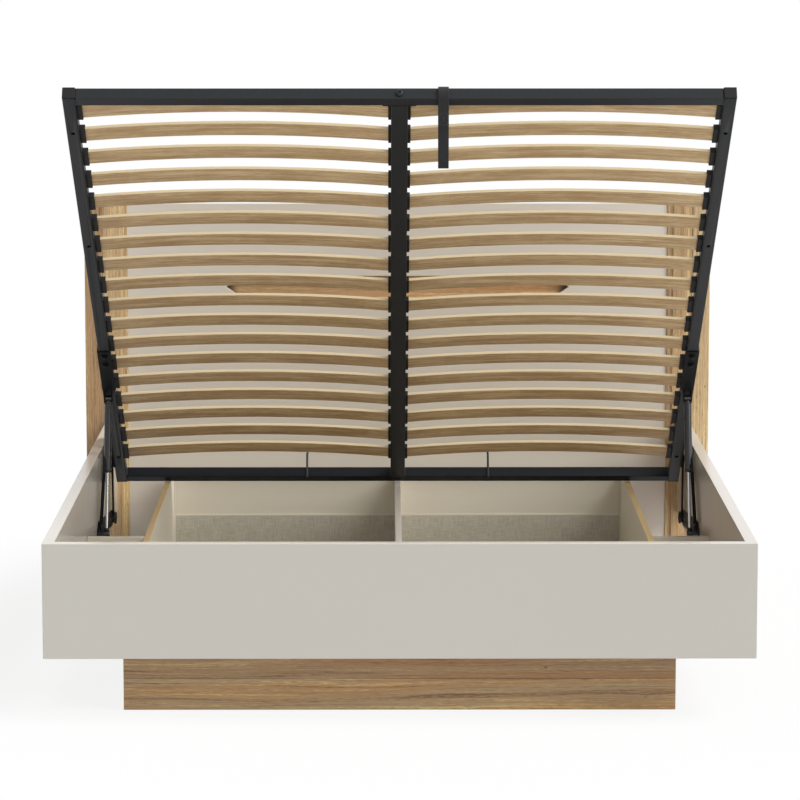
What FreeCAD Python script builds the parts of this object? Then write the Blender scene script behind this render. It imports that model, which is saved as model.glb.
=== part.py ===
import FreeCAD, Part
import math
import os
from FreeCAD import Vector

# Lift-up storage bed, millimetres, +Z up, -Y is the foot end.
# The origin is on the floor, under the middle of the whole bed.

# Bed box
box_width = 1660.0
board_thickness = 28.0
panel_height = 272.0
plinth_height = 157.0

# Slatted frame, measured along the frame from its head end
frame_length = 1982.0
tube_size = 30.0
tube_wall = 2.0
beam_width = 40.0
beam_flange_width = 80.0
beam_flange_thickness = 3.0
cap_thickness = 4.0
tube_hole_radius = 4.0
tube_hole_places = (150.0, 1301.0, 1829.0)
foot_gap = 12.0
head_gap = 12.0

# Raised pose of the slatted frame against its lowered pose
open_angle = 36.0
forward_travel = 191.0
raised_head_lift = 1.5
rest_gap = 2.0

# Slats and their holders
slat_count = 18
slat_width = 53.0
slat_thickness = 8.0
slat_camber = 17.0
slat_end_height = 12.0
slat_head_margin = 127.0
slat_foot_margin = 49.5
slat_seat_gap = 0.3
holder_wall = 3.0
holder_reach = 13.0
holder_depth = 10.0
centre_holder_reach = 6.5
centre_slat_gap = 0.5

# Mattress stop, a wire hoop on the head tube
stop_span = 508.0
stop_wire = 6.0
stop_height = 92.0
stop_drop = 4.0
stop_bend = 24.0

# Headboard
headboard_overhang = 60.0
headboard_height = 1044.0
post_width = 121.0
post_thickness = 40.0
post_rebate_width = 16.0
post_rebate_depth = 5.0
post_groove_inset = 50.0
post_groove_size = 1.5
headboard_panel_thickness = 18.0
headboard_panel_setback = 10.0
headboard_panel_bottom = 40.0
recess_height = 63.0
recess_length = 977.0
recess_point = 45.0
recess_drop = 238.0
lining_thickness = 8.0
lining_margin = 40.0
batten_height = 60.0
batten_thickness = 12.0
batten_inset = 84.0
batten_lift = 140.0

# Storage plinth
plinth_side_gap = 147.0
plinth_setback = 160.0
plinth_board = 16.0
plinth_wall_height = 276.0
plinth_back_gap = 16.0
floor_board_top = 40.0
floor_board_thickness = 6.0
cleat_width = 16.0
cleat_height = 20.0
back_lining_top = 153.0
back_lining_thickness = 4.0
bead_size = 4.0
spreader_front = 300.0
spreader_before_head = 880.0

# Rubber rest pads under the lowered frame, on the divider and on the front spreaders
pad_length = 30.0
pad_width = 12.0
pad_gap = 0.4
divider_pad_distances = (420.0, 760.0)

# Lift linkage, across the width from the side tube to the side rail
bracket_plate = 3.0
base_plate = 3.0
link_plate = 4.0
running_gap = 1.0
pin_radius = 6.0
pin_clearance = 0.05
pin_head_radius = 9.0
pin_head = 2.5
link_half_width = 14.0
link_rib_width = 12.0
link_rib_depth = 3.5
link_rib_start = 26.0
link_rib_length = 190.0
base_half_width = 22.0
open_pivot_gap = 0.3

# Places of the link pivots along the frame, and above the underside of the rails
rear_pivot_along = 110.0
front_pivot_along = 358.0
rear_base_lift = 28.0
front_base_lift = 75.0

# Lift bracket on the side tube
bracket_tail = 26.0
bracket_flange_length = 211.0
bracket_flange_margin = 3.0
bracket_bolt_radius = 5.0
bracket_bolt_height = 4.0
bracket_bolt_inset = 24.0
bracket_bolt_step = 46.0

# Gas spring
gas_along = 532.0
gas_below = 20.0
gas_inset = 13.0
gas_stud_forward = 30.0
gas_stud_drop = 5.0
gas_stud_radius = 5.0
gas_pin_radius = 4.0
gas_body_radius = 10.0
gas_bore_radius = 8.0
gas_gland_length = 14.0
gas_neck_length = 16.0
gas_neck_radius = 6.0
gas_rod_radius = 4.0
gas_piston_length = 10.0
gas_piston_gap = 0.1
gas_end_wall = 5.0
gas_end_gap = 3.0
gas_spare = 2.0
gas_eye_radius = 9.0
gas_eye_width = 16.0
gas_eye_gap = 0.4
clevis_plate = 3.0
clevis_width = 30.0
clevis_ear_radius = 12.0

# Pull strap, a webbing loop round the foot tube
strap_offset = 103.0
strap_width = 25.0
strap_thickness = 2.5
strap_drop = 160.0
strap_tip_radius = 6.0
strap_tube_gap = 0.5

# Corner angles and screws
angle_leg = 40.0
angle_plate = 3.0
angle_height = 90.0
angle_lift = 10.0
screw_radius = 2.0
screw_length = 18.0
screw_head_radius = 4.5
screw_head = 2.0
rail_bolt_radius = 4.0
rail_bolt_reach = 45.0
rail_bolt_head_radius = 8.0
rail_bolt_head = 4.0
rail_bolt_inset = 58.5
hole_clearance = 0.05
cut_overrun = 1.0

# Shares of a piece's own length or height
angle_screw_shares = (0.2, 0.8)
base_screw_shares = (0.14, 0.5, 0.86)
floor_cleat_end_share = 0.02

# Derived places
inner_half = box_width / 2 - board_thickness
linkage_depth = bracket_plate + running_gap + link_plate + running_gap + base_plate
frame_half = inner_half - linkage_depth
frame_width = frame_half + frame_half
rail_start = board_thickness
lowered_head = board_thickness + foot_gap + frame_length
headboard_front = lowered_head + head_gap
overall_length = headboard_front + post_thickness
foot_face = -overall_length / 2
box_top = plinth_height + panel_height
frame_rest = plinth_wall_height + rest_gap
raised_head = lowered_head - forward_travel
raised_height = frame_rest + raised_head_lift
spreader_middle = raised_head - spreader_before_head
plinth_half = inner_half - plinth_side_gap
plinth_back = headboard_front - plinth_back_gap
headboard_half = box_width / 2 + headboard_overhang
panel_half = headboard_half - post_width
recess_centre_height = headboard_height - recess_drop
batten_heights = (headboard_panel_bottom + batten_lift, headboard_height - batten_inset - batten_height)
rail_bolt_heights = (plinth_height + rail_bolt_inset, box_top - rail_bolt_inset)

# Layers of the linkage, from the tube's outer face outwards
bracket_face = frame_half + bracket_plate
link_inner = bracket_face + running_gap
link_outer = link_inner + link_plate
base_inner = inner_half - base_plate
pivot_across = tube_size / 2
rear_base_height = plinth_height + rear_base_lift
front_base_height = plinth_height + front_base_lift
flange_start = gas_along + clevis_width / 2
bracket_start = rear_pivot_along - bracket_tail
bracket_end = flange_start + bracket_flange_length
gas_centre = frame_half - gas_inset


def along(distance):
    """Y of a point that lies this far behind the foot panel's front face."""
    return foot_face + distance


def slab(x0, x1, y0, y1, z0, z1):
    """Box between two corners."""
    return Part.makeBox(x1 - x0, y1 - y0, z1 - z0, Vector(x0, y0, z0))


def rod_x(y, z, radius, x0, x1):
    """Round bar along X."""
    return Part.makeCylinder(radius, x1 - x0, Vector(x0, y, z), Vector(1, 0, 0))


def mirrored(shape):
    """The same piece on the other side of the bed."""
    return shape.mirror(Vector(0, 0, 0), Vector(1, 0, 0))


def belt_face(first, first_radius, second, second_radius, x):
    """Face in a plane of constant X, inside a belt round two circles."""
    run = second - first
    distance = run.Length
    forward = run / distance
    side = Vector(0, -forward.z, forward.y)
    lean = (first_radius - second_radius) / distance
    cosine = math.sqrt(1 - lean * lean)
    left = forward * lean + side * cosine
    right = forward * lean - side * cosine
    offset = Vector(x, 0, 0)
    first = first + offset
    second = second + offset
    start = first + left * first_radius
    turn_in = second + left * second_radius
    turn_out = second + right * second_radius
    back = first + right * first_radius
    edges = [
        Part.LineSegment(start, turn_in).toShape(),
        Part.Arc(turn_in, second + forward * second_radius, turn_out).toShape(),
        Part.LineSegment(turn_out, back).toShape(),
        Part.Arc(back, first - forward * first_radius, start).toShape(),
    ]
    return Part.Face(Part.Wire(edges))


def bar(first, second, radius, x0, x1):
    """Flat bar with round ends from one pivot to another."""
    face = belt_face(first, radius, second, radius, x0)
    return face.extrude(Vector(x1 - x0, 0, 0))


def square_tube(length, width, height):
    """Hollow section along Y from the origin, centred across its width."""
    outer = slab(-width / 2, width / 2, 0, length, 0, height)
    half = width / 2 - tube_wall
    inner = slab(-half, half, -cut_overrun, length + cut_overrun, tube_wall, height - tube_wall)
    return outer.cut(inner)


def moved(shape, x, y, z):
    """The shape at another place."""
    shape.translate(Vector(x, y, z))
    return shape


def frame_yz(distance, height, raised):
    """Place of a point of the slatted frame, raised or lowered."""
    if raised:
        angle = math.radians(open_angle)
        head = raised_head
        level = raised_height
    else:
        angle = 0
        head = lowered_head
        level = frame_rest
    y = along(head) - distance * math.cos(angle) + height * math.sin(angle)
    z = level + distance * math.sin(angle) + height * math.cos(angle)
    return Vector(0, y, z)


def raise_frame(shape):
    """Takes a piece from the frame's own axes to its raised place."""
    shape.rotate(Vector(0, 0, 0), Vector(1, 0, 0), -open_angle)
    shape.translate(Vector(0, along(raised_head), raised_height))
    return shape


def base_pivot(distance, height, level):
    """Fixed pivot at a level that is as far from both places of a frame pivot."""
    high = frame_yz(distance, height, True)
    low = frame_yz(distance, height, False)
    middle = (high + low) / 2
    shift = low - high
    y = middle.y - (level - middle.z) * shift.z / shift.y
    return Vector(0, y, level)


rear_base = base_pivot(rear_pivot_along, pivot_across, rear_base_height)
front_base = base_pivot(front_pivot_along, pivot_across, front_base_height)
rear_top = frame_yz(rear_pivot_along, pivot_across, True)
front_top = frame_yz(front_pivot_along, pivot_across, True)
gas_stud = front_base + Vector(0, -gas_stud_forward, -gas_stud_drop)
gas_top = frame_yz(gas_along, -gas_below, True)
gas_top_low = frame_yz(gas_along, -gas_below, False)
gas_length = (gas_stud - gas_top).Length
gas_stroke = gas_length - (gas_stud - gas_top_low).Length
gas_top_margin = gas_neck_length + gas_end_wall + gas_end_gap
gas_bore_end = gas_top_margin + gas_stroke + gas_piston_length + gas_spare
gas_body_length = gas_bore_end + gas_gland_length

nodes = {}


def both_sides(name, shape):
    """Adds a right-hand piece and its mirror image."""
    nodes[name + "_right"] = shape
    nodes[name + "_left"] = mirrored(shape)


def group(name, solids):
    """Adds like pieces as one node of separate solids."""
    nodes[name] = Part.makeCompound(solids)


def with_mirror(solids):
    """The pieces and their mirror images."""
    return solids + [mirrored(solid) for solid in solids]


def screw_y(x, y, z, side):
    """Screw driven along Y from a face at y, side is the way its head stands."""
    head = Part.makeCylinder(screw_head_radius, screw_head, Vector(x, y, z), Vector(0, side, 0))
    shank = Part.makeCylinder(screw_radius, screw_length, Vector(x, y, z), Vector(0, -side, 0))
    return head.fuse(shank).removeSplitter()


def screw_x(x, y, z):
    """Screw driven along +X from a face at x."""
    head = Part.makeCylinder(screw_head_radius, screw_head, Vector(x, y, z), Vector(-1, 0, 0))
    shank = Part.makeCylinder(screw_radius, screw_length, Vector(x, y, z), Vector(1, 0, 0))
    return head.fuse(shank).removeSplitter()


def screw_hole(x, y, z, direction):
    """Hole for a screw's shank, open at the screw's face."""
    start = Vector(x, y, z) - direction * cut_overrun
    length = screw_length + hole_clearance + cut_overrun
    return Part.makeCylinder(screw_radius + hole_clearance, length, start, direction)


def corner_angle():
    """Steel angle in the right-hand corner of the foot panel and side rail."""
    y = along(board_thickness)
    low = plinth_height + angle_lift
    across = slab(inner_half - angle_leg, inner_half, y, y + angle_plate, low, low + angle_height)
    rail = slab(inner_half - angle_plate, inner_half, y, y + angle_leg, low, low + angle_height)
    return across.fuse(rail).removeSplitter()


def corner_screw_places():
    """Screw places on the two legs of the right-hand corner angle."""
    low = plinth_height + angle_lift
    y = along(board_thickness)
    middle = angle_leg / 2
    places = []
    for share in angle_screw_shares:
        z = low + angle_height * share
        places.append(("foot", inner_half - middle, y + angle_plate, z))
        places.append(("rail", inner_half - angle_plate, y + middle, z))
    return places


def sunk_screw(place, grow, overrun):
    """Screw whose head lies flush in the right-hand lift base, or the hole for it."""
    start = Vector(base_inner - overrun, place.y, place.z)
    head_length = screw_head + grow + overrun
    shank_length = screw_length + grow + overrun
    head = Part.makeCylinder(screw_head_radius + grow, head_length, start, Vector(1, 0, 0))
    shank = Part.makeCylinder(screw_radius + grow, shank_length, start, Vector(1, 0, 0))
    return head.fuse(shank).removeSplitter()


def base_screw_places():
    """Screw places along the right-hand lift base."""
    run = rear_base - front_base
    return [front_base + run * share for share in base_screw_shares]


def build_box():
    """Foot panel, side rails, corner angles and their screws."""
    foot = slab(-box_width / 2, box_width / 2, along(0), along(board_thickness), plinth_height, box_top)
    rail = slab(inner_half, box_width / 2, along(rail_start), along(headboard_front), plinth_height, box_top)
    angle = corner_angle()
    screws = []
    for kind, x, y, z in corner_screw_places():
        if kind == "foot":
            screws.append(screw_y(x, y, z, 1))
            hole = screw_hole(x, y, z, Vector(0, -1, 0))
            foot = foot.cut(hole).cut(mirrored(hole))
        else:
            screws.append(screw_x(x, y, z))
            hole = screw_hole(x, y, z, Vector(1, 0, 0))
            rail = rail.cut(hole)
        angle = angle.cut(hole)
    for place in base_screw_places():
        rail = rail.cut(sunk_screw(place, hole_clearance, 0))
    for height in rail_bolt_heights:
        rail = rail.cut(rail_bolt_hole(height))
    nodes["foot_panel"] = foot
    both_sides("side_rail", rail)
    group("corner_angles", with_mirror([angle]))
    group("corner_screws", with_mirror(screws))


def rail_bolt(height):
    """Bolt through the right-hand headboard post into the end of the side rail."""
    x = inner_half + board_thickness / 2
    back = along(overall_length)
    seat = back - rail_bolt_head
    head = Part.makeCylinder(rail_bolt_head_radius, rail_bolt_head, Vector(x, seat, height), Vector(0, 1, 0))
    reach = post_thickness - rail_bolt_head + rail_bolt_reach
    shank = Part.makeCylinder(rail_bolt_radius, reach, Vector(x, seat, height), Vector(0, -1, 0))
    return head.fuse(shank).removeSplitter()


def rail_bolt_hole(height):
    """Hole for a rail bolt through the post and into the rail."""
    x = inner_half + board_thickness / 2
    back = along(overall_length)
    seat = back - rail_bolt_head
    wide = rail_bolt_head_radius + hole_clearance
    narrow = rail_bolt_radius + hole_clearance
    deep = rail_bolt_head + cut_overrun
    reach = post_thickness - rail_bolt_head + rail_bolt_reach + hole_clearance
    head = Part.makeCylinder(wide, deep, Vector(x, seat, height), Vector(0, 1, 0))
    shank = Part.makeCylinder(narrow, reach, Vector(x, seat, height), Vector(0, -1, 0))
    return head.fuse(shank)


def recess_outline(y, grow):
    """Pointed long outline of the headboard's recess, in a plane of constant Y."""
    half = recess_length / 2 + grow
    straight = half - recess_point
    rise = recess_height / 2 + grow
    shares = ((-1, 0), (-1, 1), (1, 1), (1, 0), (1, -1), (-1, -1))
    points = []
    for across, up in shares:
        reach = half if up == 0 else straight
        points.append(Vector(across * reach, y, recess_centre_height + up * rise))
    return Part.Face(Part.makePolygon(points + points[:1]))


def build_headboard():
    """Posts, panel with its recess, lining, back battens and rail bolts."""
    front = along(headboard_front)
    back = along(overall_length)
    post = slab(panel_half, headboard_half, front, back, 0, headboard_height)
    edge = panel_half + post_rebate_width
    rebate = slab(panel_half, edge, front, front + post_rebate_depth, 0, headboard_height)
    groove_end = headboard_half - post_groove_inset
    groove_start = groove_end - post_groove_size
    groove = slab(groove_start, groove_end, front, front + post_groove_size, 0, headboard_height)
    post = post.cut(rebate).cut(groove)
    for height in rail_bolt_heights:
        post = post.cut(rail_bolt_hole(height))
    both_sides("headboard_post", post)
    panel_front = front + headboard_panel_setback
    panel_back = panel_front + headboard_panel_thickness
    low = headboard_panel_bottom
    panel = slab(-panel_half, panel_half, panel_front, panel_back, low, headboard_height)
    cut_start = panel_front - cut_overrun
    cut_depth = headboard_panel_thickness + cut_overrun + cut_overrun
    opening = recess_outline(cut_start, 0).extrude(Vector(0, cut_depth, 0))
    nodes["headboard_panel"] = panel.cut(opening)
    half = recess_length / 2 + lining_margin
    rise = recess_height / 2 + lining_margin
    nodes["recess_lining"] = slab(
        -half,
        half,
        panel_back,
        panel_back + lining_thickness,
        recess_centre_height - rise,
        recess_centre_height + rise,
    )
    battens = []
    for height in batten_heights:
        top = height + batten_height
        battens.append(slab(-panel_half, panel_half, panel_back, panel_back + batten_thickness, height, top))
    group("headboard_battens", battens)
    group("rail_bolts", with_mirror([rail_bolt(height) for height in rail_bolt_heights]))


def build_plinth():
    """Oak plinth with its two storage bays and the spreaders to the side rails."""
    front = along(plinth_setback)
    back = along(plinth_back)
    inside_front = front + plinth_board
    inside_back = back - plinth_board
    inside = plinth_half - plinth_board
    divider_half = plinth_board / 2
    top = plinth_wall_height
    nodes["plinth_front"] = slab(-plinth_half, plinth_half, front, inside_front, 0, top)
    nodes["plinth_back"] = slab(-inside, inside, inside_back, back, 0, top)
    both_sides("plinth_side", slab(inside, plinth_half, inside_front, back, 0, top))
    nodes["centre_divider"] = slab(-divider_half, divider_half, inside_front, inside_back, 0, top)
    under = floor_board_top - floor_board_thickness
    floor = slab(divider_half, inside, inside_front, inside_back, under, floor_board_top)
    group("storage_floors", with_mirror([floor]))
    lining_face = inside_back - back_lining_thickness
    lining = slab(divider_half, inside, lining_face, inside_back, floor_board_top, back_lining_top)
    group("back_linings", with_mirror([lining]))
    inset = (inside_back - inside_front) * floor_cleat_end_share
    cleat_low = under - cleat_height
    cleats = []
    for edge in (divider_half, inside - cleat_width):
        right = edge + cleat_width
        cleats.append(slab(edge, right, inside_front + inset, inside_back - inset, cleat_low, under))
    group("floor_cleats", with_mirror(cleats))
    bead_top = back_lining_top + bead_size
    post = inside - bead_size
    beads = [
        slab(divider_half, post, inside_back - bead_size, inside_back, back_lining_top, bead_top),
        slab(post, inside, inside_back - bead_size, inside_back, back_lining_top, top),
        slab(post, inside, lining_face - bead_size, lining_face, floor_board_top, back_lining_top),
    ]
    group("lining_beads", with_mirror(beads))
    for name, distance in (("front", spreader_front), ("middle", spreader_middle)):
        y = along(distance)
        board = slab(plinth_half, inner_half, y, y + plinth_board, plinth_height, top)
        both_sides("spreader_" + name, board)
    pad_top = frame_rest - pad_gap
    pad_half = pad_width / 2
    pads = []
    for distance in divider_pad_distances:
        y = along(distance)
        pads.append(slab(-pad_half, pad_half, y, y + pad_length, top, pad_top))
    y = along(spreader_front) + plinth_board / 2
    outer = frame_half - tube_size / 2 + pad_length / 2
    side_pad = slab(outer - pad_length, outer, y - pad_half, y + pad_half, top, pad_top)
    group("rest_pads", pads + with_mirror([side_pad]))


def pin_head_disc(y, z, x0, x1):
    """Flat rivet head."""
    return rod_x(y, z, pin_head_radius, x0, x1)


def build_linkage():
    """Lift bases, links and the pins that they turn on."""
    hole = pin_radius + pin_clearance
    base = bar(front_base, rear_base, base_half_width, base_inner, inner_half)
    screws = []
    for place in base_screw_places():
        screws.append(sunk_screw(place, 0, 0))
        base = base.cut(sunk_screw(place, hole_clearance, cut_overrun))
    stud_seat = base_half_width + gas_stud_radius
    lug_base = bar(front_base, gas_stud, stud_seat - base_half_width / 2, base_inner, inner_half)
    base = base.fuse(lug_base).removeSplitter()
    pins = []
    for pivot in (front_base, rear_base):
        base = base.cut(rod_x(pivot.y, pivot.z, hole, base_inner - cut_overrun, inner_half + cut_overrun))
        shank = rod_x(pivot.y, pivot.z, pin_radius, link_inner - pin_head, inner_half)
        head = pin_head_disc(pivot.y, pivot.z, link_inner - pin_head, link_inner - open_pivot_gap)
        pins.append(shank.fuse(head).removeSplitter())
    both_sides("lift_base", base)
    group("base_pins", with_mirror(pins))
    group("base_screws", with_mirror(screws))
    stud_end = gas_centre + gas_eye_width / 2 + gas_eye_gap + open_pivot_gap
    stud = rod_x(gas_stud.y, gas_stud.z, gas_stud_radius, stud_end, base_inner)
    group("gas_studs", with_mirror([stud]))
    front_link = bar(front_base, front_top, link_half_width, link_inner, link_outer)
    rib_way = (front_top - front_base).normalize()
    rib_low = front_base + rib_way * link_rib_start
    rib_high = rib_low + rib_way * link_rib_length
    rib = bar(rib_low, rib_high, link_rib_width / 2, link_inner - link_rib_depth, link_inner)
    front_link = front_link.fuse(rib).removeSplitter()
    for pivot in (front_base, front_top):
        front_link = front_link.cut(
            rod_x(pivot.y, pivot.z, hole, link_inner - cut_overrun, link_outer + cut_overrun)
        )
    both_sides("front_link", front_link)
    rear_link = bar(rear_base, rear_top, link_half_width, link_inner, link_outer)
    for pivot in (rear_base, rear_top):
        rear_link = rear_link.cut(
            rod_x(pivot.y, pivot.z, hole, link_inner - cut_overrun, link_outer + cut_overrun)
        )
    both_sides("rear_link", rear_link)
    rivet = rod_x(rear_top.y, rear_top.z, pin_radius, bracket_face + open_pivot_gap, link_outer)
    head = pin_head_disc(rear_top.y, rear_top.z, link_outer, link_outer + pin_head)
    group("rear_link_rivets", with_mirror([rivet.fuse(head).removeSplitter()]))


def build_frame_tubes():
    """Welded tube frame with its caps, centre beam and mattress stop."""
    side = square_tube(frame_length, tube_size, tube_size)
    side = moved(side, frame_half - tube_size / 2, -frame_length, 0)
    for distance in tube_hole_places:
        place = Vector(frame_half - tube_size / 2, -distance, -cut_overrun)
        depth = tube_wall + cut_overrun + cut_overrun
        side = side.cut(Part.makeCylinder(tube_hole_radius, depth, place, Vector(0, 0, 1)))
    both_sides("side_tube", raise_frame(side))
    between = frame_width - 2 * tube_size
    for name, start in (("head_tube", 0), ("foot_tube", frame_length - tube_size)):
        tube = square_tube(between, tube_size, tube_size)
        tube.rotate(Vector(0, 0, 0), Vector(0, 0, 1), -90)
        tube = moved(tube, -between / 2, -start - tube_size / 2, 0)
        if name == "foot_tube":
            tube = tube.cut(centre_bolt(True))
        nodes[name] = raise_frame(tube)
    beam_length = frame_length - 2 * tube_size - beam_flange_thickness
    beam = moved(square_tube(beam_length, beam_width, tube_size), 0, -tube_size - beam_length, 0)
    flange_face = -frame_length + tube_size
    half = beam_flange_width / 2
    flange = slab(-half, half, flange_face, flange_face + beam_flange_thickness, 0, tube_size)
    beam = beam.fuse(flange).removeSplitter().cut(centre_bolt(True))
    nodes["centre_beam"] = raise_frame(beam)
    nodes["centre_bolt"] = raise_frame(centre_bolt(False))
    caps = []
    for end in (0, -frame_length - cap_thickness):
        x = frame_half - tube_size
        caps.append(raise_frame(slab(x, frame_half, end, end + cap_thickness, 0, tube_size)))
    group("tube_caps", with_mirror(caps))
    nodes["mattress_stop"] = raise_frame(mattress_stop())


def centre_bolt(hole):
    """Bolt through the foot tube into the centre beam's flange, or the hole for it."""
    grow = hole_clearance if hole else 0
    end = -frame_length - (cut_overrun if hole else 0)
    z = tube_size / 2
    length = -frame_length + tube_size + beam_flange_thickness + screw_head + grow - end
    shank = Part.makeCylinder(rail_bolt_radius + grow, length, Vector(0, end, z), Vector(0, 1, 0))
    if hole:
        return shank
    head = Part.makeCylinder(rail_bolt_head_radius, screw_head, Vector(0, end, z), Vector(0, -1, 0))
    return head.fuse(shank).removeSplitter()


def mattress_stop():
    """Wire hoop that stands on the head tube, bent from one round wire."""
    y = -tube_size - stop_wire / 2
    half = stop_span / 2
    corner = stop_bend * math.sqrt(0.5)
    low_left = Vector(-half, y, -stop_drop)
    up_left = Vector(-half, y, stop_height - stop_bend)
    mid_left = Vector(-half + stop_bend - corner, y, stop_height - stop_bend + corner)
    in_left = Vector(-half + stop_bend, y, stop_height)
    in_right = Vector(half - stop_bend, y, stop_height)
    mid_right = Vector(half - stop_bend + corner, y, stop_height - stop_bend + corner)
    up_right = Vector(half, y, stop_height - stop_bend)
    low_right = Vector(half, y, -stop_drop)
    path = Part.Wire(
        [
            Part.LineSegment(low_left, up_left).toShape(),
            Part.Arc(up_left, mid_left, in_left).toShape(),
            Part.LineSegment(in_left, in_right).toShape(),
            Part.Arc(in_right, mid_right, up_right).toShape(),
            Part.LineSegment(up_right, low_right).toShape(),
        ]
    )
    section = Part.Wire([Part.makeCircle(stop_wire / 2, low_left, Vector(0, 0, 1))])
    return path.makePipeShell([section], True, False)


def slat_ends():
    """X of a right-hand slat's two ends, and the radius of its arch."""
    inner = beam_width / 2 + centre_slat_gap
    outer = frame_half - tube_size - holder_reach + holder_depth
    half = (outer - inner) / 2
    radius = (half * half + slat_camber * slat_camber) / (2 * slat_camber)
    return inner, outer, radius


def arch_height(x):
    """Height of a slat's underside in the frame at X."""
    inner, outer, radius = slat_ends()
    reach = x - (inner + outer) / 2
    crown = slat_end_height + slat_camber
    return crown - radius + math.sqrt(radius * radius - reach * reach)


def slat_starts():
    """Distance of each slat's head-side edge from the frame's head end."""
    room = frame_length - slat_head_margin - slat_foot_margin - slat_width
    step = room / (slat_count - 1)
    return [slat_head_margin + step * index for index in range(slat_count)]


def slat(start):
    """One bent slat of the right-hand row."""
    inner, outer, radius = slat_ends()
    middle = (inner + outer) / 2
    y = -start
    low = slat_end_height
    crown = low + slat_camber
    up = Vector(0, 0, slat_thickness)
    first = Vector(inner, y, low)
    top = Vector(middle, y, crown)
    last = Vector(outer, y, low)
    edges = [
        Part.Arc(first, top, last).toShape(),
        Part.LineSegment(last, last + up).toShape(),
        Part.Arc(last + up, top + up, first + up).toShape(),
        Part.LineSegment(first + up, first).toShape(),
    ]
    return Part.Face(Part.Wire(edges)).extrude(Vector(0, -slat_width, 0))


def slat_holder(start, x0, x1, pocket0, pocket1):
    """Moulded holder with a pocket for a slat's end."""
    heights = [arch_height(pocket0), arch_height(pocket1)]
    low = min(heights) - slat_seat_gap
    high = max(heights) + slat_thickness + slat_seat_gap
    near = -start + slat_seat_gap
    far = -start - slat_width - slat_seat_gap
    body = slab(x0, x1, far - holder_wall, near + holder_wall, low - holder_wall, high + holder_wall)
    pocket = slab(pocket0 - slat_seat_gap, pocket1 + slat_seat_gap, far, near, low, high)
    return body.cut(pocket)


def build_slats():
    """Two rows of bent slats in holders on the side tubes and on the centre beam."""
    inner, outer, radius = slat_ends()
    tube_face = frame_half - tube_size
    slats = []
    side_holders = []
    centre_holders = []
    for start in slat_starts():
        slats.append(raise_frame(slat(start)))
        mouth = tube_face - holder_reach
        side_holders.append(raise_frame(slat_holder(start, mouth, tube_face, mouth, outer)))
        lip = beam_width / 2 + centre_holder_reach
        centre_holders.append(raise_frame(slat_holder(start, beam_width / 2, lip, inner, lip)))
    group("slats_right", slats)
    group("slats_left", [mirrored(piece) for piece in slats])
    group("slat_holders_right", side_holders)
    group("slat_holders_left", [mirrored(piece) for piece in side_holders])
    group("slat_holders_centre", with_mirror(centre_holders))


def bracket_bolt_places():
    """Distances of the bolts along the lift bracket's flange."""
    return [bracket_end - bracket_bolt_inset - bracket_bolt_step * step for step in (0, 1)]


def build_brackets():
    """Lift brackets and gas spring clevises on the side tubes, with their bolts and pins."""
    inner = frame_half - tube_size
    hole = pin_radius + pin_clearance
    web = slab(frame_half, bracket_face, -bracket_end, -bracket_start, 0, tube_size)
    flange_edge = inner - bracket_flange_margin
    flange = slab(flange_edge, bracket_face, -bracket_end, -flange_start, -bracket_plate, 0)
    bracket = web.fuse(flange).removeSplitter()
    pin_y = -front_pivot_along
    reach = link_outer + pin_head
    bracket = bracket.cut(rod_x(pin_y, pivot_across, hole, frame_half - cut_overrun, reach))
    pin = rod_x(pin_y, pivot_across, pin_radius, frame_half, link_outer + open_pivot_gap)
    head = pin_head_disc(pin_y, pivot_across, link_outer + open_pivot_gap, reach)
    group("frame_pins", with_mirror([raise_frame(pin.fuse(head).removeSplitter())]))
    both_sides("lift_bracket", raise_frame(bracket))
    bolts = []
    middle = frame_half - tube_size / 2
    for distance in bracket_bolt_places():
        seat = Vector(middle, -distance, -bracket_plate)
        bolts.append(raise_frame(Part.makeCylinder(bracket_bolt_radius, bracket_bolt_height, seat, Vector(0, 0, -1))))
    group("bracket_bolts", with_mirror(bolts))
    clevis, pin = gas_clevis()
    both_sides("gas_clevis", raise_frame(clevis))
    group("gas_pins", with_mirror([raise_frame(pin)]))


def gas_clevis():
    """Fork under the side tube that holds the gas spring's upper eye, and its pin."""
    gap_half = gas_eye_width / 2 + gas_eye_gap
    ear_half = gap_half + clevis_plate
    y = -gas_along
    half = clevis_width / 2
    hole = gas_pin_radius + pin_clearance
    plate = slab(gas_centre - ear_half, gas_centre + ear_half, y - half, y + half, -clevis_plate, 0)
    centre = Vector(0, y, -gas_below)
    root = Vector(0, y, -clevis_plate)
    fork = plate
    for x in (gas_centre - ear_half, gas_centre + gap_half):
        fork = fork.fuse(bar(root, centre, clevis_ear_radius, x, x + clevis_plate))
    trim = slab(gas_centre - frame_half, gas_centre + frame_half, y - frame_half, y + frame_half, 0, frame_half)
    fork = fork.cut(trim)
    reach = ear_half + cut_overrun
    fork = fork.cut(rod_x(y, -gas_below, hole, gas_centre - reach, gas_centre + reach)).removeSplitter()
    pin = rod_x(y, -gas_below, gas_pin_radius, gas_centre - reach, gas_centre + reach)
    return fork, pin


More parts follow.
